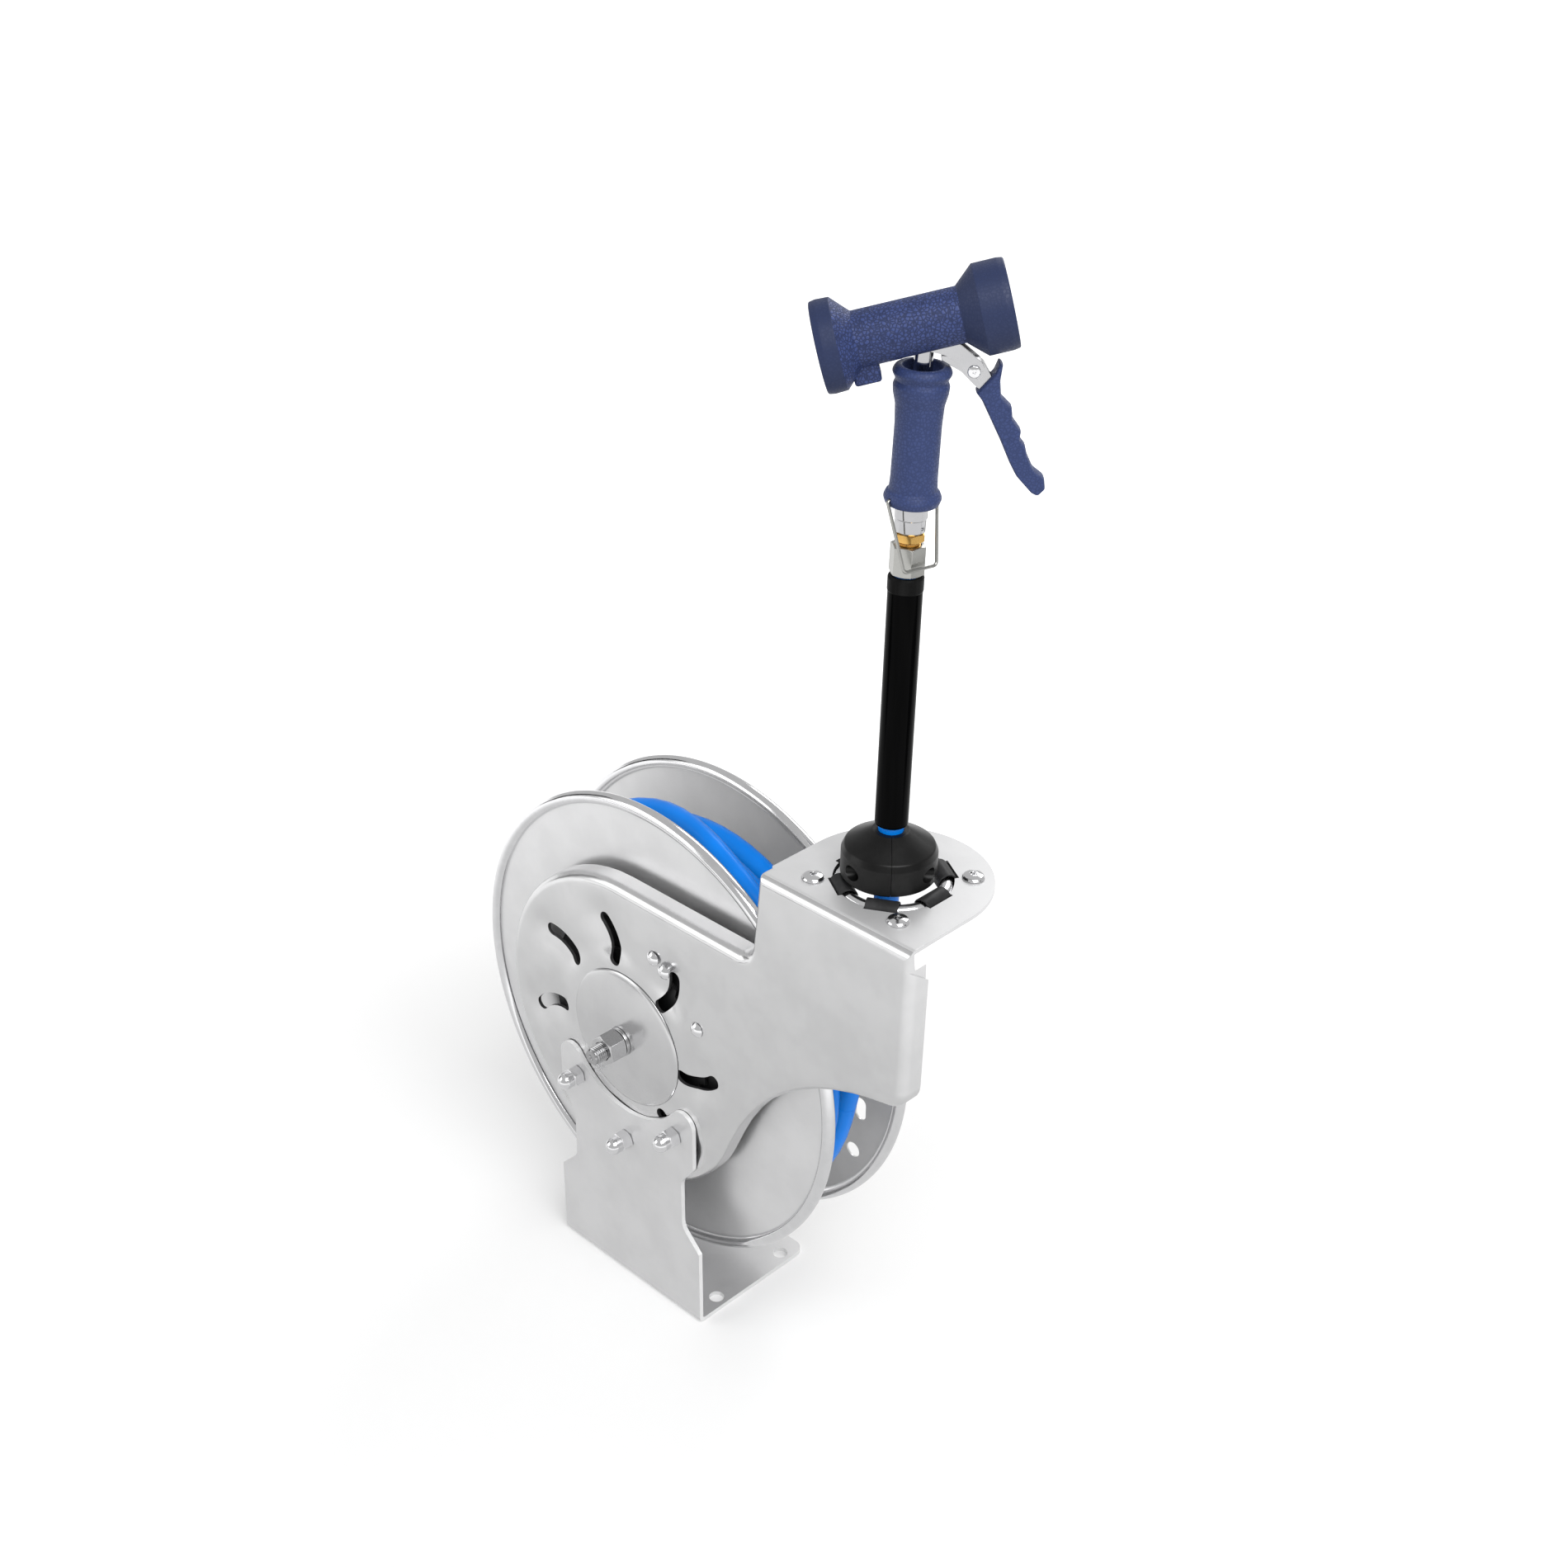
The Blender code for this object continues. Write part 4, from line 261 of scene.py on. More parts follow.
class Finish(Nodes):
    """One material: its shader and the nodes that feed it."""

    def __init__(self, name, colour, roughness, metallic=0.0, **fixed):
        self.material = bpy.data.materials.new(name)
        self.material.use_nodes = True
        super().__init__(self.material.node_tree)
        self.shader = self.tree.nodes["Principled BSDF"]
        self.colour = (*colour, 1)
        self.material.diffuse_color = self.colour
        fixed.update(Base_Color=self.colour, Roughness=roughness, Metallic=metallic)
        for socket, value in fixed.items():
            self.give(socket.replace("_", " "), value)
        self.place = self.node("ShaderNodeTexCoord", output="Object")

    def give(self, socket, value):
        self.feed(self.shader.inputs[socket], value)

    def noise(self, scale, detail=2.0, roughness=0.5, place=None):
        values = {"Vector": place or self.place, "Scale": scale, "Detail": detail, "Roughness": roughness}
        return self.node("ShaderNodeTexNoise", None, values)

    def shade(self, mask, low, high):
        """The finish's own colour, darker to lighter along the mask."""
        tones = [(*[min(c * level, 1) for c in self.colour[:3]], 1) for level in (low, high)]
        mixed = self.node("ShaderNodeMix", {"data_type": "RGBA"}, {0: mask, 6: tones[0], 7: tones[1]}, 2)
        self.give("Base Color", mixed)

    def stretched(self, scale):
        return self.node("ShaderNodeMapping", None, {"Vector": self.place, "Scale": scale})

    def bumped(self, *layers):
        """Height layers, each a term and its depth in metres, as one bump."""
        height = None
        for term, depth in layers:
            layer = term * (depth * 1000)
            height = layer if height is None else height + layer
        values = {"Strength": 1.0, "Distance": 0.001, "Height": height}
        self.give("Normal", self.node("ShaderNodeBump", None, values))


def sheet_steel(name, colour, roughness, waves=0.00012, metallic=0.7):
    """Rolled stainless sheet: fine grain, faint clouding and a slow waviness."""
    coat = Finish(name, colour, roughness, metallic)
    grain = coat.noise(1400, 3, 0.6)
    cloud = coat.noise(26, 4, 0.55)
    coat.shade(cloud.stepped(0.3, 0.7), 0.96, 1.03)
    coat.give("Roughness", roughness + 0.05 * (grain - 0.5) + 0.06 * (cloud - 0.5))
    coat.bumped((coat.noise(9, 1, 0.4), waves * 8), (grain, 0.0000030))
    return coat.material


def brushed_steel(name, colour, roughness, along):
    """Drawn or turned steel with fine lines along the piece."""
    coat = Finish(name, colour, roughness, 1.0)
    scale = [40 if axis == along else 1800 for axis in "xyz"]
    lines = coat.noise(1, 3, 0.6, coat.stretched(scale))
    coat.shade(lines.stepped(0.25, 0.75), 0.93, 1.04)
    coat.give("Roughness", roughness + 0.10 * (lines - 0.5))
    coat.bumped((lines, 0.000006))
    return coat.material


def polished_steel(name, colour, roughness):
    coat = Finish(name, colour, roughness, 1.0)
    smear = coat.noise(90, 4, 0.6)
    coat.shade(smear.stepped(0.35, 0.7), 0.97, 1.02)
    coat.give("Roughness", roughness + 0.10 * (smear - 0.45))
    coat.bumped((coat.noise(260, 2, 0.5), 0.000010))
    return coat.material


def turned_brass(name, colour):
    coat = Finish(name, colour, 0.22, 1.0)
    tarnish = coat.noise(120, 4, 0.6)
    lines = coat.noise(1, 2, 0.5, coat.stretched((300, 300, 2600)))
    coat.shade(tarnish.stepped(0.35, 0.7), 0.88, 1.06)
    coat.give("Roughness", 0.20 + 0.14 * (tarnish - 0.4))
    coat.bumped((lines, 0.000005))
    return coat.material


def painted(name, colour, roughness):
    coat = Finish(name, colour, roughness)
    peel = coat.noise(700, 2, 0.5)
    coat.shade(coat.noise(40, 3).stepped(0.3, 0.7), 0.85, 1.2)
    coat.give("Roughness", roughness + 0.14 * (peel - 0.5))
    coat.bumped((peel, 0.000020))
    return coat.material


def hose_rubber(name, colour):
    """Smooth extruded hose: a soft gloss with faint scuffs."""
    coat = Finish(name, colour, 0.33, Coat_Weight=0.10, Coat_Roughness=0.10, Specular_IOR_Level=0.18)
    scuff = coat.noise(160, 4, 0.65)
    coat.shade(coat.noise(18, 3).stepped(0.25, 0.75), 0.92, 1.08)
    coat.give("Roughness", 0.30 + 0.14 * scuff.stepped(0.45, 0.75))
    coat.bumped((coat.noise(500, 2, 0.5), 0.000012), (scuff, 0.000020))
    return coat.material


def moulded(name, colour, roughness, depth):
    """Moulded plastic with an eroded grain."""
    coat = Finish(name, colour, roughness, Specular_IOR_Level=0.22)
    grain = coat.noise(1500, 3, 0.6)
    worn = coat.noise(60, 4, 0.6)
    coat.shade(worn.stepped(0.35, 0.7), 0.75, 1.45)
    coat.give("Roughness", roughness + 0.12 * (worn - 0.5) + 0.10 * (grain - 0.5))
    coat.bumped((grain, depth))
    return coat.material


def shrink_sleeve(name, colour, roughness, ripple):
    """Heat-shrunk tube: glossy, with faint long ripples."""
    coat = Finish(name, colour, roughness, Specular_IOR_Level=0.025)
    long_wave = coat.noise(1, 2, 0.5, coat.stretched((260, 260, 18)))
    dust = coat.noise(900, 3, 0.6)
    coat.shade(long_wave.stepped(0.3, 0.7), 0.8, 1.3)
    coat.give("Roughness", roughness + 0.10 * (dust - 0.5))
    coat.bumped((long_wave, ripple), (dust, 0.000006))
    return coat.material


def grained_rubber(name, colour, depth, pebble_painted_light):
    """Rubber with a leather grain: raised pebbles with painted highlights between soft creases with painted
    shade.
    """
    coat = Finish(name, colour, 0.50, Specular_IOR_Level=0.28)
    warp = coat.noise(420, 2, 0.5)
    shift = coat.node("ShaderNodeVectorMath", {"operation": "SCALE"}, {0: warp, "Scale": 0.0006})
    bent = coat.node("ShaderNodeVectorMath", {"operation": "ADD"}, (coat.place, shift))
    values = {"Vector": bent, "Scale": 430}
    crease = coat.node("ShaderNodeTexVoronoi", {"feature": "DISTANCE_TO_EDGE"}, values)
    pebble = crease.stepped(0.02, 0.28)
    fine = coat.noise(2200, 2, 0.6)
    # Painted highlight and shade: the pebbles lighter and the creases darker, with a random tone from the
    # warp noise.
    coat.shade(pebble * 0.7 + warp * 0.3, 1 - pebble_painted_light, 1 + pebble_painted_light)
    coat.give("Roughness", 0.56 - 0.14 * pebble + 0.08 * (fine - 0.5))
    coat.bumped((pebble, depth), (fine, 0.000010))
    return coat.material


FLANGE_STEEL = sheet_steel("flange_steel", (0.80, 0.80, 0.805), 0.34, 0.00005, 0.78)
ARM_STEEL = sheet_steel("pressed_arm_steel", (0.72, 0.72, 0.725), 0.22, 0.00007, 0.90)
BRACKET_STEEL = sheet_steel("bracket_steel", (0.76, 0.76, 0.765), 0.40, 0.00005, 0.70)
# Painted shade: a darker, duller steel for the arm's up-facing top faces, toning down the light they catch
# from above.
TOP_FACE_PAINTED_SHADE_STEEL = sheet_steel("top_face_painted_shade_steel", (0.66, 0.66, 0.665), 0.40, 0.00003, 0.45)
# Painted highlight: a lighter, less metallic steel for the sheet's cut edges, for the light the edges catch
# from above.
EDGE_PAINTED_HIGHLIGHT = sheet_steel("cut_edge_painted_highlight", (0.90, 0.90, 0.90), 0.36, 0.00002, 0.25)
# Painted shade: a near-black finish for the arm's slot walls, standing in for the shade inside the slots.
SLOT_WALL_PAINTED_SHADE = painted("slot_wall_painted_shade", (0.035, 0.035, 0.036), 0.50)
DISH_STEEL = sheet_steel("dish_steel", (0.64, 0.64, 0.645), 0.24, 0.00003, 0.88)
TURNED_STEEL = brushed_steel("turned_steel", (0.46, 0.46, 0.465), 0.24, "x")
DRUM_STEEL = sheet_steel("drum_steel", (0.62, 0.62, 0.63), 0.4)
FERRULE_STEEL = brushed_steel("ferrule_steel", (0.44, 0.44, 0.42), 0.34, "x")
BRIGHT = polished_steel("polished_steel", (0.80, 0.80, 0.81), 0.12)
NUT_STEEL = polished_steel("plain_nut_steel", (0.58, 0.58, 0.585), 0.22)
LEVER_STEEL = polished_steel("satin_lever_steel", (0.52, 0.52, 0.53), 0.24)
CHROME = polished_steel("chrome", (0.46, 0.46, 0.47), 0.07)
WIRE = polished_steel("bail_wire", (0.40, 0.40, 0.38), 0.30)
BRASS = turned_brass("brass", (0.66, 0.40, 0.12))
BRONZE = turned_brass("bearing_bronze", (0.45, 0.30, 0.15))
BLACK_PAINT = painted("black_paint", (0.012, 0.012, 0.013), 0.42)
BLUED = brushed_steel("blued_spring_steel", (0.30, 0.30, 0.32), 0.35, "z")
BLUE = hose_rubber("blue_hose", (0.000, 0.240, 0.920))
STOP_BLACK = moulded("stop_plastic", (0.006, 0.006, 0.006), 0.34, 0.00002)
ROLLER_BLACK = moulded("roller_plastic", (0.026, 0.026, 0.027), 0.40, 0.000012)
SLEEVE_BLACK = shrink_sleeve("sleeve_gloss", (0.0015, 0.0015, 0.0016), 0.12, 0.00004)
BAND_BLACK = shrink_sleeve("sleeve_band", (0.010, 0.010, 0.010), 0.30, 0.00008)
NAVY = grained_rubber("navy_leather_grain", (0.032, 0.049, 0.145), 0.00016, 0.55)
NAVY_FINE = grained_rubber("navy_fine_grain", (0.035, 0.054, 0.152), 0.00006, 0.20)
NAVY_PLAIN = grained_rubber("navy_smooth", (0.020, 0.031, 0.086), 0.00002, 0.06)


# ---- making pieces
def put(shape, place):
    bmesh.ops.transform(shape, matrix=place, verts=shape.verts)
    return shape


def held(name, shape, *materials):
    """An object of this bmesh, in the scene."""
    mesh = bpy.data.meshes.new(name)
    shape.to_mesh(mesh)
    shape.free()
    for material in materials:
        mesh.materials.append(material)
    return linked(name, mesh)


def finished(name, node, shape, place, body, slot, *materials, crease=32, rounding=0.0):
    """A finished piece from a bmesh in the given frame. It rides on a body in the node's stead."""
    piece = held(name, put(shape, place), *materials)
    piece.data.shade_smooth()
    if rounding:
        edge = piece.modifiers.new("edge", "BEVEL")
        edge.width = rounding
        edge.segments = 2
        edge.limit_method = "ANGLE"
        edge.angle_limit = radians(40)
        edge.use_clamp_overlap = True
        edge.harden_normals = False
    else:
        piece.data.set_sharp_from_angle(angle=radians(crease))
    piece.modifiers.new("even_shading", "WEIGHTED_NORMAL").keep_sharp = True
    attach(piece, body)
    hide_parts(node)
    return piece


def refinished(piece, place, chosen):
    """Gives the piece's second material to the faces whose middles are chosen in the given frame."""
    back = place.inverted()
    for face in piece.data.polygons:
        if chosen(back @ face.center):
            face.material_index = 1


def kept_from_mirrors(piece):
    """Neither mirrored nor bounced, so that the steel beside it keeps its own tone."""
    piece.visible_glossy = False
    piece.visible_diffuse = False


def swept(shape, geom, sweep, steps, climb=0.0):
    """Spins part of a shape about Z, climbing as it turns, and points its faces outwards."""
    bmesh.ops.spin(
        shape, geom=geom, cent=(0, 0, 0), axis=(0, 0, 1), dvec=(0, 0, climb / steps), angle=sweep,
        steps=steps, use_merge=not climb, use_normal_flip=False, use_duplicate=False,
    )
    if not climb:
        bmesh.ops.remove_doubles(shape, verts=shape.verts, dist=0.000002)
    bmesh.ops.recalc_face_normals(shape, faces=shape.faces)
    return shape


def spun(profile, steps=96, ring=False):
    """A profile of (radius, height) turned about Z. A ring's profile is a closed loop."""
    shape = bmesh.new()
    verts = [shape.verts.new((radius, 0, height)) for radius, height in profile]
    pairs = list(zip(verts, verts[1:])) + ([(verts[-1], verts[0])] if ring else [])
    return swept(shape, verts + [shape.edges.new(pair) for pair in pairs], tau, steps)


def band(inner, outer, low, high, steps=120):
    return spun([(outer, high), (outer, low), (inner, low), (inner, high)], steps, True)


def bevelled(shape, edges, width, steps):
    bmesh.ops.bevel(
        shape, geom=edges, offset=width, offset_type="OFFSET", segments=steps, profile=0.5,
        affect="EDGES", clamp_overlap=True, material=-1,
    )


def prism(points, low, high, soft=0.0):
    """A flat outline in XY, from low to high along Z, with softened rims."""
    shape = bmesh.new()
    base = shape.faces.new([shape.verts.new((x, y, low)) for x, y in points])
    raised = bmesh.ops.extrude_face_region(shape, geom=[base])
    top = [item for item in raised["geom"] if isinstance(item, bmesh.types.BMVert)]
    bmesh.ops.translate(shape, verts=top, vec=(0, 0, high - low))
    bmesh.ops.recalc_face_normals(shape, faces=shape.faces)
    if soft:
        rims = [edge for edge in shape.edges if abs(edge.verts[0].co.z - edge.verts[1].co.z) < 1e-7]
        bevelled(shape, rims, soft, 2)
    return shape


def block(low, high, soft=0.0):
    shape = bmesh.new()
    bmesh.ops.create_cube(shape, size=1)
    bmesh.ops.scale(shape, verts=shape.verts, vec=Vector(high) - Vector(low))
    bmesh.ops.translate(shape, verts=shape.verts, vec=(Vector(low) + Vector(high)) / 2)
    if soft:
        bevelled(shape, list(shape.edges), soft, 3)
    return shape


def rod(radius, low, high, steps=48):
    shape = bmesh.new()
    bmesh.ops.create_cone(
        shape, cap_ends=True, segments=steps, radius1=radius, radius2=radius, depth=high - low,
    )
    return put(shape, moved(0, 0, (low + high) / 2))


def taken(item):
    """The evaluated mesh of a working object as a bmesh. The object is removed."""
    graph = bpy.context.evaluated_depsgraph_get()
    mesh = bpy.data.meshes.new_from_object(item.evaluated_get(graph))
    shape = bmesh.new()
    shape.from_mesh(mesh)
    bpy.data.meshes.remove(mesh)
    bpy.data.objects.remove(item)
    return shape


def carved(shape, tools, operation="DIFFERENCE"):
    item = held("work", shape)
    cutters = [held("work", tool) for tool in tools]
    for cutter in cutters:
        step = item.modifiers.new("carve", "BOOLEAN")
        step.operation = operation
        step.object = cutter
    result = taken(item)
    for cutter in cutters:
        bpy.data.objects.remove(cutter)
    return result


def merged(first, *others):
    for other in others:
        mesh = bpy.data.meshes.new("merge")
        other.to_mesh(mesh)
        other.free()
        first.from_mesh(mesh)
        bpy.data.meshes.remove(mesh)
    return first


def tube(path, radius, sides=28):
    """A round tube along the points, with flat ends, as a bmesh."""
    curve = bpy.data.curves.new("path", "CURVE")
    curve.dimensions = "3D"
    curve.bevel_depth = radius
    curve.bevel_resolution = sides // 4 - 1
    curve.use_fill_caps = True
    curve.twist_mode = "MINIMUM"
    spline = curve.splines.new("POLY")
    spline.points.add(len(path) - 1)
    for point, at in zip(spline.points, path):
        point.co = (*at, 1)
    shape = taken(linked("path", curve))
    bmesh.ops.remove_doubles(shape, verts=shape.verts, dist=0.000001)
    bmesh.ops.recalc_face_normals(shape, faces=shape.faces)
    return shape


def eased_share(value, start, span):
    """How far the value is along the span, from 0 to 1, with soft ends."""
    share = min(max((value - start) / span, 0), 1)
    return share * share * (3 - 2 * share)


def polar(reach, angle):
    return Vector((reach * cos(angle), reach * sin(angle)))


def arc_corners(x, y, radius, start, end, count):
    """Corners whose fillets join into one arc about (x, y)."""
    half = (end - start) / (2 * count)
    reach = radius / cos(half)
    angles = [start + (2 * i + 1) * half for i in range(count)]
    return [(x + reach * cos(a), y + reach * sin(a), radius, i > 0) for i, a in enumerate(angles)]


def fillet(place, into, turn, radius, steps, first=0):
    """Points of the arc that rounds a corner."""
    side = 1 if turn > 0 else -1
    start = place - into * radius * tan(abs(turn) / 2)
    centre = start + side * radius * Vector((-into.y, into.x))
    spoke = start - centre
    turns = [(cos(turn * i / steps), sin(turn * i / steps)) for i in range(first, steps + 1)]
    return [(centre.x + c * spoke.x - s * spoke.y, centre.y + s * spoke.x + c * spoke.y) for c, s in turns]


def outline(corners, inset=0.0, sagitta=0.00006):
    """Points of a filleted polygon, counterclockwise, moved inwards by the inset."""
    places = [Vector(corner[:2]) for corner in corners]
    points = []
    for i, corner in enumerate(corners):
        into = (places[i] - places[i - 1]).normalized()
        out = (places[(i + 1) % len(places)] - places[i]).normalized()
        turn = into.angle_signed(out) * -1
        left_in, left_out = Vector((-into.y, into.x)), Vector((-out.y, out.x))
        place = places[i] + inset * (left_in + left_out) / (1 + left_in.dot(left_out))
        radius = max(corner[2] - (inset if turn > 0 else -inset), 0.0002)
        steps = max(2, ceil(abs(turn) / (2 * acos(1 - sagitta / max(corner[2], 0.0012)))))
        joined = len(corner) > 3 and corner[3]
        points += fillet(place, into, turn, radius, steps, int(joined))
    return points


def eased(corners):
    """A turned profile of (radius, height, fillet) corners, open, as (radius, height) points."""
    points = []
    for i, corner in enumerate(corners):
        radius = corner[2] if len(corner) > 2 else 0
        here = Vector(corner[:2])
        if not radius or i in (0, len(corners) - 1):
            points.append(tuple(here))
            continue
        into = (here - Vector(corners[i - 1][:2])).normalized()
        out = (Vector(corners[i + 1][:2]) - here).normalized()
        turn = into.angle_signed(out) * -1
        if abs(turn) < 0.02:
            points.append(tuple(here))
        else:
            points += fillet(here, into, turn, radius, max(2, ceil(abs(turn) / radians(15))))
    return points


def ringed(corners, rows, caps, sagitta=0.00006):
    """A closed skin of the outline's loops, one for each (inset, height), flat at its two caps."""
    shape = bmesh.new()
    rings = []
    for inset, height in rows:
        verts = [shape.verts.new((x, y, height)) for x, y in outline(corners, inset, sagitta)]
        rings.append((verts, [shape.edges.new((verts[i - 1], verts[i])) for i in range(len(verts))]))
    for i in range(-1, len(rings) - 1):
        if {i % len(rings), i + 1} != set(caps):
            bmesh.ops.bridge_loops(shape, edges=rings[i][1] + rings[i + 1][1])
    for cap in caps:
        shape.faces.new(rings[cap][0])
    bmesh.ops.recalc_face_normals(shape, faces=shape.faces)
    return shape


def hexagon_bar(across, low, high):
    """A hexagon whose corners are turned back at both ends, as on a nut."""
    flat = across / 2
    corner = flat * HEX_TO_CORNER
    crown, clear = flat * 0.97, corner + 0.0002
    drop = (corner - crown) * tan(radians(30))
    turned_back = [
        (0, low), (crown, low), (clear, low + drop), (clear, high - drop), (crown, high), (0, high),
    ]
    return carved(rod(corner, low, high, 6), [spun(turned_back, 96)], "INTERSECT")


def thread(radius, pitch, low, high, depth):
    """A screw thread's ridge round a core of this outside radius."""
    root, crest = radius - depth - 0.0002, radius - 0.0001
    ridge = [(root, -pitch * 0.48), (crest, -pitch * 0.07), (crest, pitch * 0.07), (root, pitch * 0.48)]
    turns = (high - low) / pitch - 1
    shape = bmesh.new()
    first = shape.faces.new([shape.verts.new((r, 0, low + pitch / 2 + h)) for r, h in ridge])
    return swept(shape, [first], turns * tau, round(turns * 40), turns * pitch)


def cross_recess(depth, reach, width):
    """The tool that cuts a cross slot, tapering inwards, down from Z = 0."""
    tools = []
    for angle in (0, 90):
        wedge = block((-reach, -width / 2, -depth), (reach, width / 2, 0.003))
        for vert in wedge.verts:
            if vert.co.z < 0:
                vert.co.x *= 0.45
        tools.append(put(wedge, turned(angle, "Z")))
    return tools


def pan_screw(head_r, head_h, shank_r, shank_l, turn):
    """A pan-head cross-recess screw, its seat at Z = 0 and its shank below."""
    corners = [
        (0, head_h), (head_r * 0.40, head_h * 0.97, head_r * 0.6),
        (head_r * 0.86, head_h * 0.66, head_r * 0.30), (head_r, head_h * 0.16, head_h * 0.20),
        (head_r * 0.97, 0, 0), (shank_r, 0), (shank_r, -shank_l), (0, -shank_l),
    ]
    tools = cross_recess(head_h * 0.72, head_r * 0.50, head_r * 0.20)
    placed = [put(tool, moved(0, 0, head_h) @ turned(turn, "Z")) for tool in tools]
    return carved(spun(eased(corners), 72), placed)


# ---- foot bracket
def bracket_corners():
    end = polar(1, CRADLE_END) * CRADLE_R
    along = Vector((-sin(CRADLE_END), cos(CRADLE_END)))
    tip_z = AXLE_Z + end.y + along.y * (HORN_HALF - end.x) / along.x
    right = [
        (BRACKET_HALF, -0.02, 0.001),
        (BRACKET_HALF, BLOCK_TOP, 0.001),
        (WAIST_HALF, WAIST_LOW + 0.002, WAIST_R),
        (WAIST_HALF, WAIST_HIGH, WAIST_R),
        (HORN_HALF - 0.0005, HORN_FOOT, 0.006),
        (HORN_HALF, tip_z, HORN_TIP_R),
    ]
    cradle = arc_corners(0, AXLE_Z, CRADLE_R, CRADLE_END, pi - CRADLE_END - tau, 4)
    return right + cradle + [(-x, z, radius) for x, z, radius in reversed(right)]


def make_bracket():
    front, back = BRACKET_FRONT_Y, BRACKET_FRONT_Y + FOOT_DEPTH
    inside = front + BRACKET_T
    strip = [
        (front, 0, BEND_R), (back, 0, 0.0003), (back, BRACKET_T, 0.0003),
        (inside, BRACKET_T, BEND_R - BRACKET_T), (inside, AXLE_Z, 0.0003), (front, AXLE_Z, 0.0003),
    ]
    folded = put(prism(outline(strip), -0.12, 0.12), ACROSS)
    face = put(prism(outline(bracket_corners()), -0.1, 0.1), FRONT_ON)
    foot_corners = [
        (-BRACKET_HALF, front - 0.05, 0.001), (BRACKET_HALF, front - 0.05, 0.001),
        (BRACKET_HALF, back, FOOT_CORNER_R), (-BRACKET_HALF, back, FOOT_CORNER_R),
    ]
    foot = prism(outline(foot_corners), -0.01, 0.3)
    sheet = carved(carved(folded, [face], "INTERSECT"), [foot], "INTERSECT")
    spots = [(x, y) for x in (-FOOT_HOLE_X, FOOT_HOLE_X) for y in FOOT_HOLE_Y]
    holes = [put(rod(FOOT_HOLE_R, -0.01, 0.02), moved(x, y, 0)) for x, y in spots]
    holes += [put(rod(STUD_R + GAP, 0.05, 0.09), AXLE @ moved(x, z, 0)) for x, z in STUD_XZ]
    sheet = carved(sheet, holes)
    # Faces on the sheet's cut edges take the lighter steel, a painted highlight for the light they catch from
    # above.
    for face in sheet.faces:
        at, way = face.calc_center_bounds(), face.normal
        standing = at.z > 2 * BEND_R
        at_back = at.y > back - FOOT_CORNER_R
        on_edge = abs(way.y) < 0.3 if standing else abs(way.x) > 0.3 or (at_back and abs(way.z) < 0.3)
        face.material_index = int(on_edge)
    finished(
        "foot_bracket", "base_bracket", sheet, WORLD, "frame", "steel", BRACKET_STEEL, EDGE_PAINTED_HIGHLIGHT,
        rounding=0.0005,
    )


# ---- pressed arm
def arm_corners():
    (x, z), end = ARM_DISC, ARM_HEEL_END
    last = Vector((x + ARM_DISC_R * cos(end), z + ARM_DISC_R * sin(end)))
    along = Vector((-sin(end), cos(end)))
    heel = last + along * ARM_HEEL_REACH
    turn = along.angle(Vector(ARM_WAIST_XZ) - heel)
    neck = RING_X - GUIDE_HALF
    return [
        (ARM_END_X - ARM_END_TAPER, ARM_FOOT_Z, ARM_FOOT_R),
        (ARM_END_X, GUIDE_RISE, 0.004),
        (neck, GUIDE_RISE, 0.004),
        (neck - ARM_NECK_X, z + ARM_DISC_R, ARM_NECK_R),
        *arc_corners(x, z, ARM_DISC_R, radians(90), end, 8),
        (heel.x, heel.y, (ARM_HEEL_REACH - ARM_T / 4) / tan(turn / 2)),
        (*ARM_WAIST_XZ, ARM_WAIST_R),
    ]


def slot_line(inner, outer, bulge, steps=14):
    control = 2 * bulge - (inner + outer) / 2
    shares = [i / steps for i in range(steps + 1)]
    return [(1 - t) ** 2 * inner + 2 * t * (1 - t) * control + t * t * outer for t in shares]


def slot_lines(steps=14):
    """The middle lines of the disc's curved slots."""
    centre = Vector(SLOT_CENTRE)
    lines = []
    for i, angle in enumerate(SLOT_ANGLES):
        start = HIDDEN_SLOT_IN_R if i in HIDDEN_SLOTS else SLOT_IN_R
        inner = centre + polar(1, angle - SLOT_TWIST) * start
        outer = centre + polar(1, angle) * SLOT_OUT_R
        along = (outer - inner).normalized()
        bulge = (inner + outer) / 2 + SLOT_SAG * Vector((along.y, -along.x))
        lines.append(slot_line(inner, outer, bulge, steps))
    return lines


def slot_outline(line):
    sides = []
    for i, point in enumerate(line):
        along = (line[min(i + 1, len(line) - 1)] - line[max(i - 1, 0)]).normalized()
        sides.append((point, along, Vector((-along.y, along.x))))
    left = [point + across * SLOT_HALF_W for point, along, across in sides]
    right = [point - across * SLOT_HALF_W for point, along, across in sides]
    cap = [radians(a) for a in range(72, -73, -18)]
    ends = []
    for (point, along, across), reach in ((sides[-1], SLOT_HALF_W), (sides[0], -SLOT_HALF_W)):
        ends.append([point + reach * (cos(a) * along + sin(a) * across) for a in cap])
    return [tuple(p) for p in left + ends[0] + right[::-1] + ends[1]]


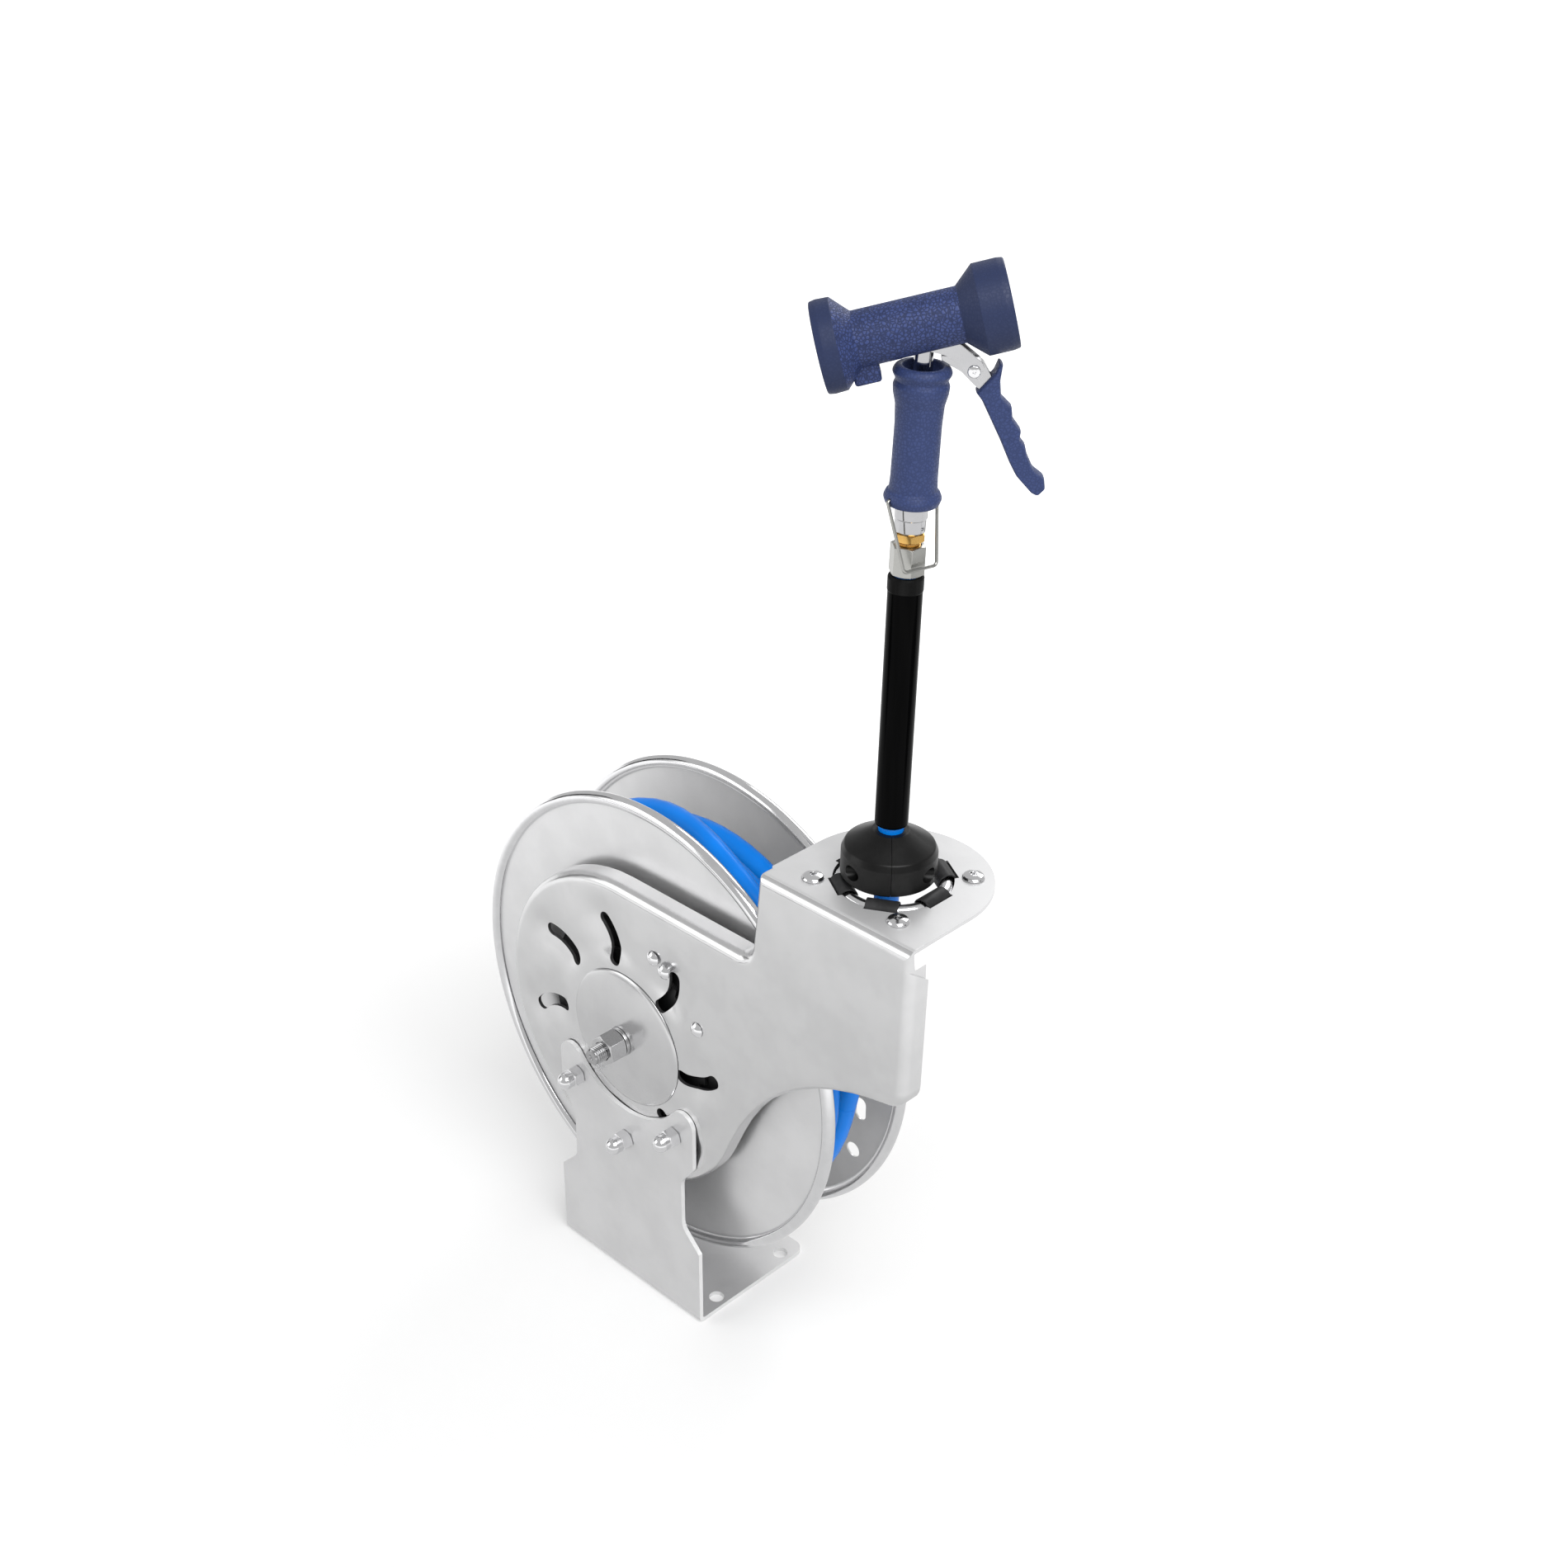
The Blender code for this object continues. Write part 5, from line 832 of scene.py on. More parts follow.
def press_in(shape):
    """Dents the disc's sheet inwards round each slot, on a fine grid of cuts."""
    lines = slot_lines(10)
    centre = Vector(ARM_DISC)
    reach = ARM_DISC_R - ARM_ROLL
    right_edge = centre.x + reach
    face_low = -ARM_INNER_Y - 0.0001

    def on_disc(face):
        flat = abs(face.normal.z) > 0.99 and face.verts[0].co.z > face_low
        return flat and face.calc_center_bounds().x < right_edge

    def cut(place, normal):
        chosen = [face for face in shape.faces if on_disc(face)]
        edges = {edge for face in chosen for edge in face.edges}
        verts = {vert for face in chosen for vert in face.verts}
        geom = [*chosen, *edges, *verts]
        bmesh.ops.bisect_plane(shape, geom=geom, dist=0.000005, plane_co=place, plane_no=normal)

    cut((right_edge, 0, 0), (1, 0, 0))
    for i in range(1, DIMPLE_CUTS):
        step = 2 * reach * (i + 0.013) / DIMPLE_CUTS
        cut((centre.x - reach + step, 0, 0), (1, 0, 0))
        cut((0, centre.y - reach + step, 0), (0, 1, 0))
    for vert in shape.verts:
        if vert.co.z <= face_low:
            continue
        at = Vector(vert.co[:2])
        ease = eased_share(at.length, CRADLE_R - DIMPLE_EASE / 4, DIMPLE_EASE)
        ease *= eased_share(reach - (at - centre).length, 0, DIMPLE_EASE)
        if ease > 0:
            nearest = min((at - point).length for line in lines for point in line)
            vert.co.z -= DIMPLE_DEPTH * exp(-((nearest / DIMPLE_SPREAD) ** 2) / 2) * ease


def arm_sheet():
    """The pressed sheet: a closed tray of loops, from its flanged edge to its face and back."""
    face, back = -ARM_FACE_Y, -ARM_BACK_Y
    bend = ARM_ROLL - ARM_T
    turns = [radians(90 * i / 8) for i in range(9)]
    rows = [(0, back)] + [(ARM_ROLL * (1 - cos(a)), face - ARM_ROLL * (1 - sin(a))) for a in turns]
    rows += [(ARM_T + bend * (1 - cos(a)), face - ARM_ROLL + bend * sin(a)) for a in reversed(turns)]
    return ringed(arm_corners(), rows + [(ARM_T, back)], (len(turns), len(turns) + 1), 0.00025)


def roller_rooms(place):
    """The tools that leave room for the six rollers."""
    room, side = ROLLER_L / 2 + ROLLER_SPACE, ROLLER_R + ROLLER_SPACE
    low, high = (ROLLER_REACH - side, -room, -0.02), (ROLLER_REACH + side, room, 0.02)
    return [put(block(low, high), place @ turned(60 * i, "Z")) for i in range(6)]


def make_arm():
    half, front = GUIDE_HALF, ARM_BACK_Y - RING_Y - 0.003
    tip = arc_corners(0, 0, half, 0, pi, 4)
    corners = [(-half, front, 0.0003), (half, front, 0.0003), *tip]
    plate = prism(outline(corners), RING_DROP - ARM_T, RING_DROP)
    shape = carved(arm_sheet(), [put(plate, TO_AXLE @ GUIDE)], "UNION")
    notch_z = PLATE_TOP_Z - NOTCH_DROP
    outside, inside, above = ARM_FACE_Y - 0.001, ARM_BACK_Y + 0.001, PLATE_TOP_Z + 0.01
    corners = [(outside, notch_z), (inside, notch_z - NOTCH_FALL), (inside, above), (outside, above)]
    relief = prism(outline([(y, z, 0.0001) for y, z in corners]), RING_X + GUIDE_HALF, ARM_END_X + 0.01)
    low, high = -ARM_INNER_Y, -ARM_FACE_Y + 0.004
    shape = carved(shape, [put(relief, TO_AXLE @ ACROSS), rod(THREAD_R + GAP, low - 0.004, high)])
    press_in(shape)
    tools = [prism(slot_outline(line), low - 0.012, high) for line in slot_lines()]
    tools.append(put(rod(RING_R + ROD_R + 0.0004, -0.02, 0.02, 120), TO_AXLE @ GUIDE))
    shape = carved(shape, tools + roller_rooms(TO_AXLE @ GUIDE))
    points = [point for line in slot_lines() for point in line]
    for face in shape.faces:
        at = face.calc_center_bounds()
        # Up-facing faces at the arm's top take the darker, duller steel: painted shade against the light from
        # above.
        if face.normal.y > 0.9 and at.y > GUIDE_RISE - 0.001:
            face.material_index = 2
        # Painted shade: faces on the slot walls take the near-black finish, for the shade inside the slots.
        elif abs(face.normal.z) < 0.6 and at.z > low - DIMPLE_DEPTH - 0.001:
            nearest = min((Vector(at[:2]) - point).length for point in points)
            face.material_index = int(nearest < SLOT_HALF_W + 0.0008)
    stud_end = -BRACKET_FRONT_Y + STUD_OUT - 0.001
    studs = [put(rod(STUD_R, low - 0.0045, stud_end, 24), moved(x, z, 0)) for x, z in STUD_XZ]
    finished(
        "pressed_arm", "guide_arm", merged(shape, *studs), AXLE, "frame", "steel",
        ARM_STEEL, SLOT_WALL_PAINTED_SHADE, TOP_FACE_PAINTED_SHADE_STEEL, rounding=0.0004,
    )


def make_hub():
    seat, bore, power = -DISH_BACK_Y, THREAD_R + GAP, HUB_DISH_POWER
    shares = [1.0 - 0.74 * i / 20 for i in range(21)]
    rises = [HUB_DISH_RISE * (1 - s**power) / (1 - 0.26**power) for s in shares]
    dome = [(HUB_DISH_R * s, seat + HUB_DISH_T + rise) for s, rise in zip(shares, rises)]
    under = [(r, h - HUB_DISH_T) for r, h in reversed(dome)]
    dome[0] = (HUB_DISH_R, seat + 0.0004)
    dome.insert(1, (HUB_DISH_R * 0.985, dome[1][1] - 0.0006))
    profile = [(bore, dome[-1][1])] + dome[::-1] + under[::-1] + [(bore, under[0][1])]
    finished(
        "domed_cover", "hub_dish", spun(profile, 128, True), AXLE, "frame", "steel", DISH_STEEL,
        rounding=0.0003,
    )


def domed_nut(seat):
    """A nut with a domed cap, bored for its stud."""
    bends = [radians(a) for a in range(0, 90, 6)]
    low, middle = seat + CAP_HEX_L - 0.001, seat + CAP_DOME_RISE
    arc = [(CAP_DOME_R * cos(a), middle + CAP_DOME_R * sin(a)) for a in bends]
    dome = spun([(0, low), (CAP_DOME_R, low), *arc, (0, middle + CAP_DOME_R)], 64)
    cap = carved(hexagon_bar(CAP_AF, seat, seat + CAP_HEX_L), [dome], "UNION")
    return carved(cap, [rod(STUD_R + GAP, 0, seat + STUD_OUT, 32)])


def rivet(seat, shank):
    """A low domed head on its shank."""
    r, rise = RIVET_HEAD_R, RIVET_HEAD_R * 0.52
    sphere = (r * r + rise * rise) / (2 * rise)
    bends = [asin(r / sphere) * k / 10 for k in range(11)]
    dome = [(sphere * sin(a), seat + 0.0005 + rise - sphere * (1 - cos(a))) for a in bends]
    return spun(dome + [(r, seat), (RIVET_R, seat), (RIVET_R, -shank), (0, -shank)], 48)


def make_axle():
    tip = -(DISH_TOP_Y - AXLE_OUT)
    shoulder, end, spigot = -(ARM_INNER_Y + GAP), -JOURNAL_END_Y, -SPIGOT_END_Y
    core, bore, seat = THREAD_R - 0.0010, THREAD_R + GAP, -DISH_TOP_Y + GAP
    profile = [
        (0, tip - 0.0012), (0.0016, tip - 0.0012), (0.0026, tip), (core - 0.0008, tip),
        (core, tip - 0.0010), (core, seat + 0.002), (THREAD_R, seat + 0.001), (THREAD_R, shoulder),
        (JOURNAL_R, shoulder), (JOURNAL_R, end), (SPIGOT_R, end), (SPIGOT_R, spigot), (0.005, spigot),
        (0.005, -SWIVEL_Y), (0, -SWIVEL_Y),
    ]
    shaft = merged(spun(profile, 72), thread(THREAD_R, AXLE_PITCH, seat + 0.006, tip - 0.0004, 0.0011))
    finished("threaded_axle", "axle", shaft, AXLE, "frame", "steel", TURNED_STEEL, crease=25)
    low = seat + WASHER_T
    ring = eased([(bore, seat), (WASHER_R, seat, 0.0004), (WASHER_R, low, 0.0005), (bore, low)])
    washer = spun(ring, 72, True)
    finished("flat_washer", "axle_washer", washer, AXLE, "frame", "polished", NUT_STEEL)
    nut = carved(hexagon_bar(NUT_AF, low + GAP, low + GAP + NUT_H), [rod(bore, 0, 0.2, 64)])
    at = AXLE @ turned(11, "Z")
    finished("hexagon_nut", "axle_nut", nut, at, "frame", "polished", NUT_STEEL, rounding=0.0004)
    for i, (x, z) in enumerate(STUD_XZ):
        nut, at = domed_nut(-BRACKET_FRONT_Y + GAP), AXLE @ moved(x, z, 0) @ turned(CAP_TURNS[i], "Z")
        name, node = f"domed_nut_{i + 1}", f"cap_nut_{i + 1}"
        finished(name, node, nut, at, "frame", "polished", BRIGHT, rounding=0.0003)
    shank = ARM_INNER_Y + 0.003
    pivot_shank = CASE_FRONT_Y - GAP - 0.003 - 0.0004 + PAWL_T
    for i, (x, z) in enumerate(RIVET_XZ):
        head, at = rivet(-ARM_FACE_Y + GAP, pivot_shank if i == 1 else shank), AXLE @ moved(x, z, 0)
        finished(f"rivet_{i + 1}", f"arm_rivet_{i + 1}", head, at, "frame", "polished", BRIGHT)


# ---- ring guide
def make_guide():
    loop = [(RING_R + ROD_R * cos(a), ROD_R * sin(a)) for a in (tau * i / 32 for i in range(32))]
    hoop = spun(loop, 144, True)
    finished("ring_rod", "guide_ring", hoop, GUIDE, "frame", "polished", BRIGHT)
    half = ROLLER_L / 2
    r, bore = ROLLER_R, ROLLER_BORE_R
    wall = eased([(bore, -half), (r, -half, 0.0006), (r, half, 0.0006), (bore, half)])
    for i in range(6):
        roller = spun(wall, 48, True)
        at = GUIDE @ turned(60 * i, "Z") @ moved(ROLLER_REACH, 0, 0) @ turned(90, "X")
        name, node, body = f"roller_sleeve_{i + 1}", f"guide_roller_{i + 1}", f"roller_{i + 1}"
        finished(name, node, roller, at, body, "black_plastic", ROLLER_BLACK)
    top = PLATE_TOP_Z - ARM_T - GAP - RING_Z
    shelf = -ROD_R - GAP
    foot_r = RING_R + ROD_R + 0.0006
    step_r = foot_r + 0.0045
    section = [
        (RETAINER_R, top), (RETAINER_R, top - RETAINER_T), (step_r, top - RETAINER_T),
        (foot_r, shelf - RETAINER_T), (RING_R - 0.0035, shelf - RETAINER_T), (RING_R - 0.0035, shelf),
        (foot_r - 0.001, shelf), (step_r - 0.0015, top),
    ]
    front = ARM_FACE_Y + ARM_ROLL + GAP - RING_Y
    tools = roller_rooms(WORLD) + [block((-0.1, -0.1, -0.03), (0.1, front, 0.03))]
    retainer = carved(spun(section, 96, True), tools)
    finished(
        "pressed_retainer", "ring_retainer", retainer, GUIDE, "frame", "steel", ARM_STEEL,
        rounding=0.0003,
    )
    shank = RING_DROP + GAP - (top - RETAINER_T - 0.004)
    for i, (side_x, side_y, turn) in enumerate(((1, 1, 20), (-1, 1, 65), (-1, -1, 12), (1, -1, 38))):
        screw = pan_screw(GUIDE_HEAD_R, GUIDE_HEAD_H, GUIDE_SHANK_R, shank, turn)
        at = GUIDE @ moved(side_x * GUIDE_SCREW_XY, side_y * GUIDE_SCREW_XY, RING_DROP + GAP)
        name, node = f"pan_screw_{i + 1}", f"guide_screw_{i + 1}"
        finished(name, node, screw, at, "frame", "polished", BRIGHT, rounding=0.00015)


# ---- spool
def make_flange(name, node, middle, inward, tools):
    """A flange whose rolled bead is brighter than its sheet."""
    sheet, bore = FLANGE_T / 2, JOURNAL_R + GAP + BUSH_WALL + GAP
    rim_r = FLANGE_R - RIM_BEAD_R
    neck = asin(sheet / RIM_BEAD_R)
    arc = [pi - neck - (tau - 2 * neck) * i / 30 for i in range(31)]
    bead = [(rim_r + RIM_BEAD_R * cos(a), RIM_BEAD_R * sin(a)) for a in arc]
    boss = [(BOSS_R + 0.002, -sheet), (BOSS_R, -sheet - 0.002), (BOSS_R, -BOSS_DEPTH), (bore, -BOSS_DEPTH)]
    section = [(bore, sheet), *bead, *boss]
    shape = spun([(r, -middle + h * inward) for r, h in section], 180, True)
    if tools:
        shape = carved(shape, tools)
    piece = finished(name, node, shape, AXLE, "spool", "steel", FLANGE_STEEL, BRIGHT, crease=28)
    refinished(piece, AXLE, lambda at: hypot(at.x, at.y) > FLANGE_R - 2 * RIM_BEAD_R - 0.0008)


def make_pawl():
    """The pawl on the second rivet, lifted clear of the ratchet wheel's teeth."""
    pivot = Vector(RIVET_XZ[1])
    way = polar(1, PAWL_TIP_ANGLE) * PAWL_SEAT_R - pivot
    reach, direction = way.length, atan2(way.y, way.x) - PAWL_LIFT
    corners = [
        (-0.007, -0.006, 0.005), (0.004, -0.006, 0.003), (reach - 0.001, -0.0025, 0.0006),
        (reach, 0.0025, 0.0006), (0.006, 0.006, 0.003), (-0.007, 0.006, 0.005),
    ]
    blade = prism(outline(corners), PAWL_BACK, PAWL_BACK + PAWL_T)
    blade = carved(blade, [rod(RIVET_R + GAP, 0, 0.1, 32)])
    at = AXLE @ moved(*pivot, 0) @ Matrix.Rotation(direction, 4, "Z")
    finished(
        "ratchet_pawl_blade", "pawl", blade, at, "ratchet_pawl", "black_steel", BLACK_PAINT,
        rounding=0.0003,
    )


def make_spool():
    make_flange("front_flange", "near_flange", NEAR_FLANGE_Y, 1, [])
    (x, z), r = polar(FAR_SLOT_REACH, FAR_SLOT_ANGLE), FAR_SLOT_R
    sides = [(x - r, -1), (x + r, -1), (x + r, 1), (x - r, 1)]
    corners = [(side, z + way * FAR_SLOT_HALF, r - 0.0001) for side, way in sides]
    low, high = -FAR_FLANGE_Y - 0.01, -FAR_FLANGE_Y + 0.01
    tools = [prism(outline(corners), low, high)]
    holes = (FAR_HOLE_R, FAR_HOLE_REACH, FAR_HOLE_ANGLE), (GOOSE_R + 0.001, GOOSE_REACH, GOOSE_ANGLE)
    tools += [put(rod(r, low, high), moved(*polar(reach, angle), 0)) for r, reach, angle in holes]
    make_flange("rear_flange", "far_flange", FAR_FLANGE_Y, -1, tools)
    drum = band(DRUM_R - DRUM_WALL, DRUM_R, FAR_FACE, NEAR_FACE)
    finished("spool_drum", "drum", drum, AXLE, "spool", "steel", DRUM_STEEL)
    inner = JOURNAL_R + GAP
    bushes = ("front_bush", "bush_front", NEAR_FLANGE_Y, 1), ("rear_bush", "bush_rear", FAR_FLANGE_Y, -1)
    for name, node, middle, inward in bushes:
        inner_end, outer_end = -middle - inward * (BOSS_DEPTH + 0.001), -middle + inward * 0.0016
        bush = band(inner, inner + BUSH_WALL, inner_end, outer_end, 64)
        finished(name, node, bush, AXLE, "spool", "bronze", BRONZE, rounding=0.0003)
    back, front, bore = -CASE_BACK_Y, -CASE_FRONT_Y, JOURNAL_R + 0.0035
    lip_r, lip, inside, under = CASE_R + CASE_LIP, back + CASE_WALL, CASE_R - CASE_WALL, front - CASE_WALL
    can = eased([
        (bore, front), (CASE_R, front, 0.003), (CASE_R, lip, 0.001), (lip_r, lip, 0.0004),
        (lip_r, back), (inside, back), (inside, under, 0.0015), (bore, under),
    ])
    can = spun(can, 120, True)
    kept_from_mirrors(finished("spring_can", "spring_case", can, AXLE, "spool", "black_steel", BLACK_PAINT))


def wound_place(before, leave):
    """Radius and y of the hose's middle, this many radians back from where it leaves the drum."""
    first, under = (leave - CROSSING_END) % tau, OUTER_SWEEP + UNDER_CROSSING
    steps = sum(eased_share(before, under + turn * tau, CROSSING_SPAN) for turn in range(3))
    steps -= sum(eased_share(before, first + turn * tau, CROSSING_SPAN) for turn in range(2))
    radius = WIND_R + (UNDER_R - WIND_R) * eased_share(before, OUTER_SWEEP, LAYER_CHANGE)
    tail = min(max((before - (WOUND_SWEEP - TAIL_SPAN)) / TAIL_SPAN, 0), 1)
    return radius - TAIL_DIP * tail * tail, LEAVE_Y + TURN_STEP * steps


def make_hose():
    """The hose's outer layer and the layer under it as one tube, and its run up to the ring."""
    target = Vector((RING_X, RING_Z - AXLE_Z))
    leave = atan2(target.y, target.x) - acos(WIND_R / target.length)
    count = round(WOUND_SWEEP / tau * 60)
    path = []
    for i in range(count + 1):
        before = WOUND_SWEEP * (1 - i / count)
        radius, y = wound_place(before, leave)
        path.append(Vector((*polar(radius, leave - before), -y)))
    out_way = Vector((-sin(leave), cos(leave), 0))
    path.append(path[-1] + out_way * 2 * HOSE_R)
    layers = band(DRUM_R + GAP, UNDER_R - 0.004, FAR_FACE, NEAR_FACE)
    look = "spool", "blue_hose", BLUE
    wound = tube(path, HOSE_R)
    kept_from_mirrors(finished("wound_hose", "hose_winding", wound, AXLE, *look, crease=60))
    kept_from_mirrors(finished("inner_layers", "hose_core", layers, AXLE, *look))
    begin = AXLE @ (path[-1] + out_way * GAP)
    way = (AXLE.to_3x3() @ out_way).normalized()
    end = STOP @ Vector((0, 0, -GAP))
    length = (end - begin).length
    controls = [begin, begin + way * length * 0.35, STOP @ Vector((0, 0, -GAP - length * 0.30)), end]
    run = []
    for t in (i / 40 for i in range(41)):
        weights = ((1 - t) ** 3, 3 * t * (1 - t) ** 2, 3 * t * t * (1 - t), t**3)
        run.append(sum((w * c for w, c in zip(weights, controls)), Vector()))
    run = tube(run, HOSE_R)
    piece = finished("hose_to_ring", "hose_run", run, WORLD, "hose_lead", "blue_hose", BLUE, crease=60)
    piece.parent = None
    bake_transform(piece)


# ---- water side
def make_swivel():
    front, back = -SWIVEL_Y, -(SWIVEL_Y + SWIVEL_L)
    bore, middle, r = SPIGOT_R + GAP, (front + back) / 2, SWIVEL_R
    corners = [
        (bore, front), (r - 0.0015, front), (r, front - 0.0015), (r, front - 0.0055, 0.0003),
        (r - 0.0008, front - 0.0062), (r - 0.0008, back + 0.0062), (r, back + 0.0055, 0.0003),
        (r, back + 0.0015), (r - 0.0015, back), (bore, back),
    ]
    out = turned(degrees(GOOSE_ANGLE), "Z") @ turned(90, "Y")
    port = put(rod(GOOSE_R + 0.003, 0.014, SWIVEL_R + 0.003, 48), moved(0, 0, middle) @ out)
    housing = carved(spun(eased(corners), 96, True), [port], "UNION")
    finished("water_swivel", "swivel_housing", housing, AXLE, "spool", "brass", BRASS, rounding=0.0003)
    straight, bends = GOOSE_REACH - GOOSE_BEND, [radians(a) for a in range(9, 91, 9)]
    flat = [(SWIVEL_R + 0.003 + GAP, middle), (straight, middle)]
    flat += [(straight + GOOSE_BEND * sin(a), middle + GOOSE_BEND * (1 - cos(a))) for a in bends]
    flat.append((GOOSE_REACH, -FAR_FLANGE_Y + 0.018))
    pipe = tube([(*polar(reach, GOOSE_ANGLE), height) for reach, height in flat], GOOSE_R)
    finished("outlet_pipe", "gooseneck", pipe, AXLE, "spool", "brass", BRASS, crease=50)
    centre, seat = -(SPIGOT_END_Y + 0.002 + INLET_R), -(SWIVEL_Y + SWIVEL_L + 0.001)
    drop = moved(0, 0, centre) @ FRONT_ON
    collar = hexagon_bar(2 * INLET_R + 0.004, INLET_DROP - 0.014, INLET_DROP - 0.001)
    joined = [rod(SPIGOT_R + 0.005, centre, seat, 64), put(collar, drop @ turned(30, "Z"))]
    elbow = carved(put(rod(INLET_R, -0.0125, INLET_DROP, 64), drop), joined, "UNION")
    tools = [
        rod(SPIGOT_R + GAP, -SPIGOT_END_Y - GAP, 0),
        put(rod(INLET_BORE_R, 0, 0.1), drop),
        rod(INLET_BORE_R, centre, -SPIGOT_END_Y),
    ]
    elbow = carved(elbow, tools)
    finished("inlet_elbow_brass", "inlet_elbow", elbow, AXLE, "frame", "brass", BRASS, rounding=0.0005)


# ---- hose stop and sleeve
def make_stop():
    r, wall, top = STOP_R, STOP_WALL_H, STOP_H
    neck, bore = HOSE_R + 0.0042, HOSE_R + GAP
    profile = eased([
        (bore, top), (neck, top, 0.0008), (r - 0.0022, wall + 0.0020, 0.0030), (r, wall - 0.0030, 0.0030),
        (r, 0.0012, 0.0014), (r - 0.0016, 0, 0.0008), (bore, 0),
    ])
    for side, name, node in ((-1, "stop_half_left", "stop_left"), (1, "stop_half_right", "stop_right")):
        near, far = sorted((side * GAP / 2, side * 0.1))
        part = carved(spun(profile, 96, True), [block((near, -0.1, -0.1), (far, 0.1, 0.2))], "INTERSECT")
        tools = []
        for y in (-CLAMP_SCREW_Y, CLAMP_SCREW_Y):
            along = moved(0, y, CLAMP_LEVEL) @ turned(90, "Y")
            tools.append(put(rod(0.0033, -0.05, 0.05, 24), along))
            pocket = sorted((side * CLAMP_SEAT_X, side * 0.05))
            tools.append(put(rod(CLAMP_HEAD_R + 0.0008, *pocket), along))
        half = carved(part, tools)
        finished(name, node, half, STOP, "hose_lead", "black_plastic", STOP_BLACK, rounding=0.0005)
    for i, head in enumerate((-1, 1)):
        screw = pan_screw(CLAMP_HEAD_R, 0.0038, 0.0029, 0.0365, 30)
        seat = moved(head * (CLAMP_SEAT_X + GAP), head * CLAMP_SCREW_Y, CLAMP_LEVEL)
        at = STOP @ seat @ turned(90 * head, "Y")
        name, node = f"clamp_screw_{i + 1}", f"stop_screw_{i + 1}"
        finished(name, node, screw, at, "hose_lead", "polished", BRIGHT, rounding=0.0001)
    tail = rod(HOSE_R, 0, SLEEVE_HEAD, 64)
    finished("hose_tail", "hose_end", tail, STOP, "hose_lead", "blue_hose", BLUE)
    low, high, r, slim = SLEEVE_FOOT, SLEEVE_HEAD, SLEEVE_R, SLEEVE_R - 0.0004
    band_low = high - BAND_L
    profile = eased([
        (bore, low), (r - 0.0008, low, 0.0004), (slim, low + 0.0015, 0.002),
        (slim, band_low - 0.0006, 0.0004), (r, band_low, 0.0004), (r, high - 0.0016, 0.001),
        (r - 0.0009, high, 0.0006), (bore, high),
    ])
    sleeve = finished(
        "shrink_sleeve", "hose_sleeve", spun(profile, 96, True), STOP, "hose_lead", "black_sleeve",
        SLEEVE_BLACK, BAND_BLACK,
    )
    refinished(sleeve, STOP, lambda at: at.z > band_low)


# ---- gun
def make_couplings():
    top, tail_end = FERRULE_TOP, FERRULE_TOP - NIPPLE_TAIL
    bar = hexagon_bar(FERRULE_AF, FERRULE_FOOT, top)
    ferrule = carved(bar, [rod(NIPPLE_R + GAP, tail_end - GAP, 0.1, 64)])
    finished(
        "hose_ferrule_steel", "hose_ferrule", ferrule, GUN @ turned(10, "Z"), "hose_lead", "steel",
        FERRULE_STEEL, rounding=0.0005,
    )
    hex_top, spigot, core = NIPPLE_HEX_TOP, NIPPLE_R - 0.0010, NIPPLE_R - 0.0007
    stem = [
        (0, hex_top + 0.0075), (spigot, hex_top + 0.0075), (spigot, hex_top - 0.001),
        (core, hex_top - 0.001), (core, tail_end), (0, tail_end),
    ]
    body = carved(spun(stem, 64), [hexagon_bar(NIPPLE_AF, NIPPLE_HEX_LOW, hex_top)], "UNION")
    body = merged(body, thread(NIPPLE_R, NIPPLE_PITCH, top - 0.004, NIPPLE_HEX_LOW + 0.0006, 0.0008))
    at = GUN @ turned(4, "Z")
    finished("threaded_nipple", "brass_nipple", body, at, "hose_lead", "brass", BRASS, crease=25)
    foot, head, r, slim = COLLAR_FOOT, COLLAR_TOP, COLLAR_R, COLLAR_R - 0.0005
    bore, roof = spigot + GAP, hex_top + 0.0078
    collar = spun(eased([
        (0, head), (r, head, 0.0006), (r, foot + 0.0105, 0.0003), (slim, foot + 0.0098, 0.0003),
        (slim, foot + 0.0012, 0.0008), (r - 0.0015, foot), (bore, foot), (bore, roof), (0, roof),
    ]))
    low, high = (r - 0.0013, -0.02, foot - 0.01), (0.03, 0.02, foot + 0.0085)
    tools = [put(block(low, high), turned(angle, "Z")) for angle in (20, 200)]
    pin_way = moved(0, 0, foot + 0.0045) @ turned(-42, "Z") @ turned(90, "Y")
    tools.append(put(rod(0.0014, r - 0.0015, 0.03, 24), pin_way))
    collar = carved(collar, tools)
    finished("swivel_collar", "gun_collar", collar, GUN, "gun", "polished", CHROME, rounding=0.0002)


def ear_corners():
    """A slim strip from the barrel's underside, swelling to a round boss at the pivot."""
    boss = arc_corners(TRIGGER_X, TRIGGER_Z, EAR_BOSS_R, radians(-115), radians(75), 4)
    under = [(-0.0020, 0.1600, 0.001), (0.0150, 0.1565, 0.012), (0.0236, 0.1500, 0.008)]
    return under + boss + [(0.0210, 0.1655, 0.014), (0.0000, 0.1695, 0.001)]


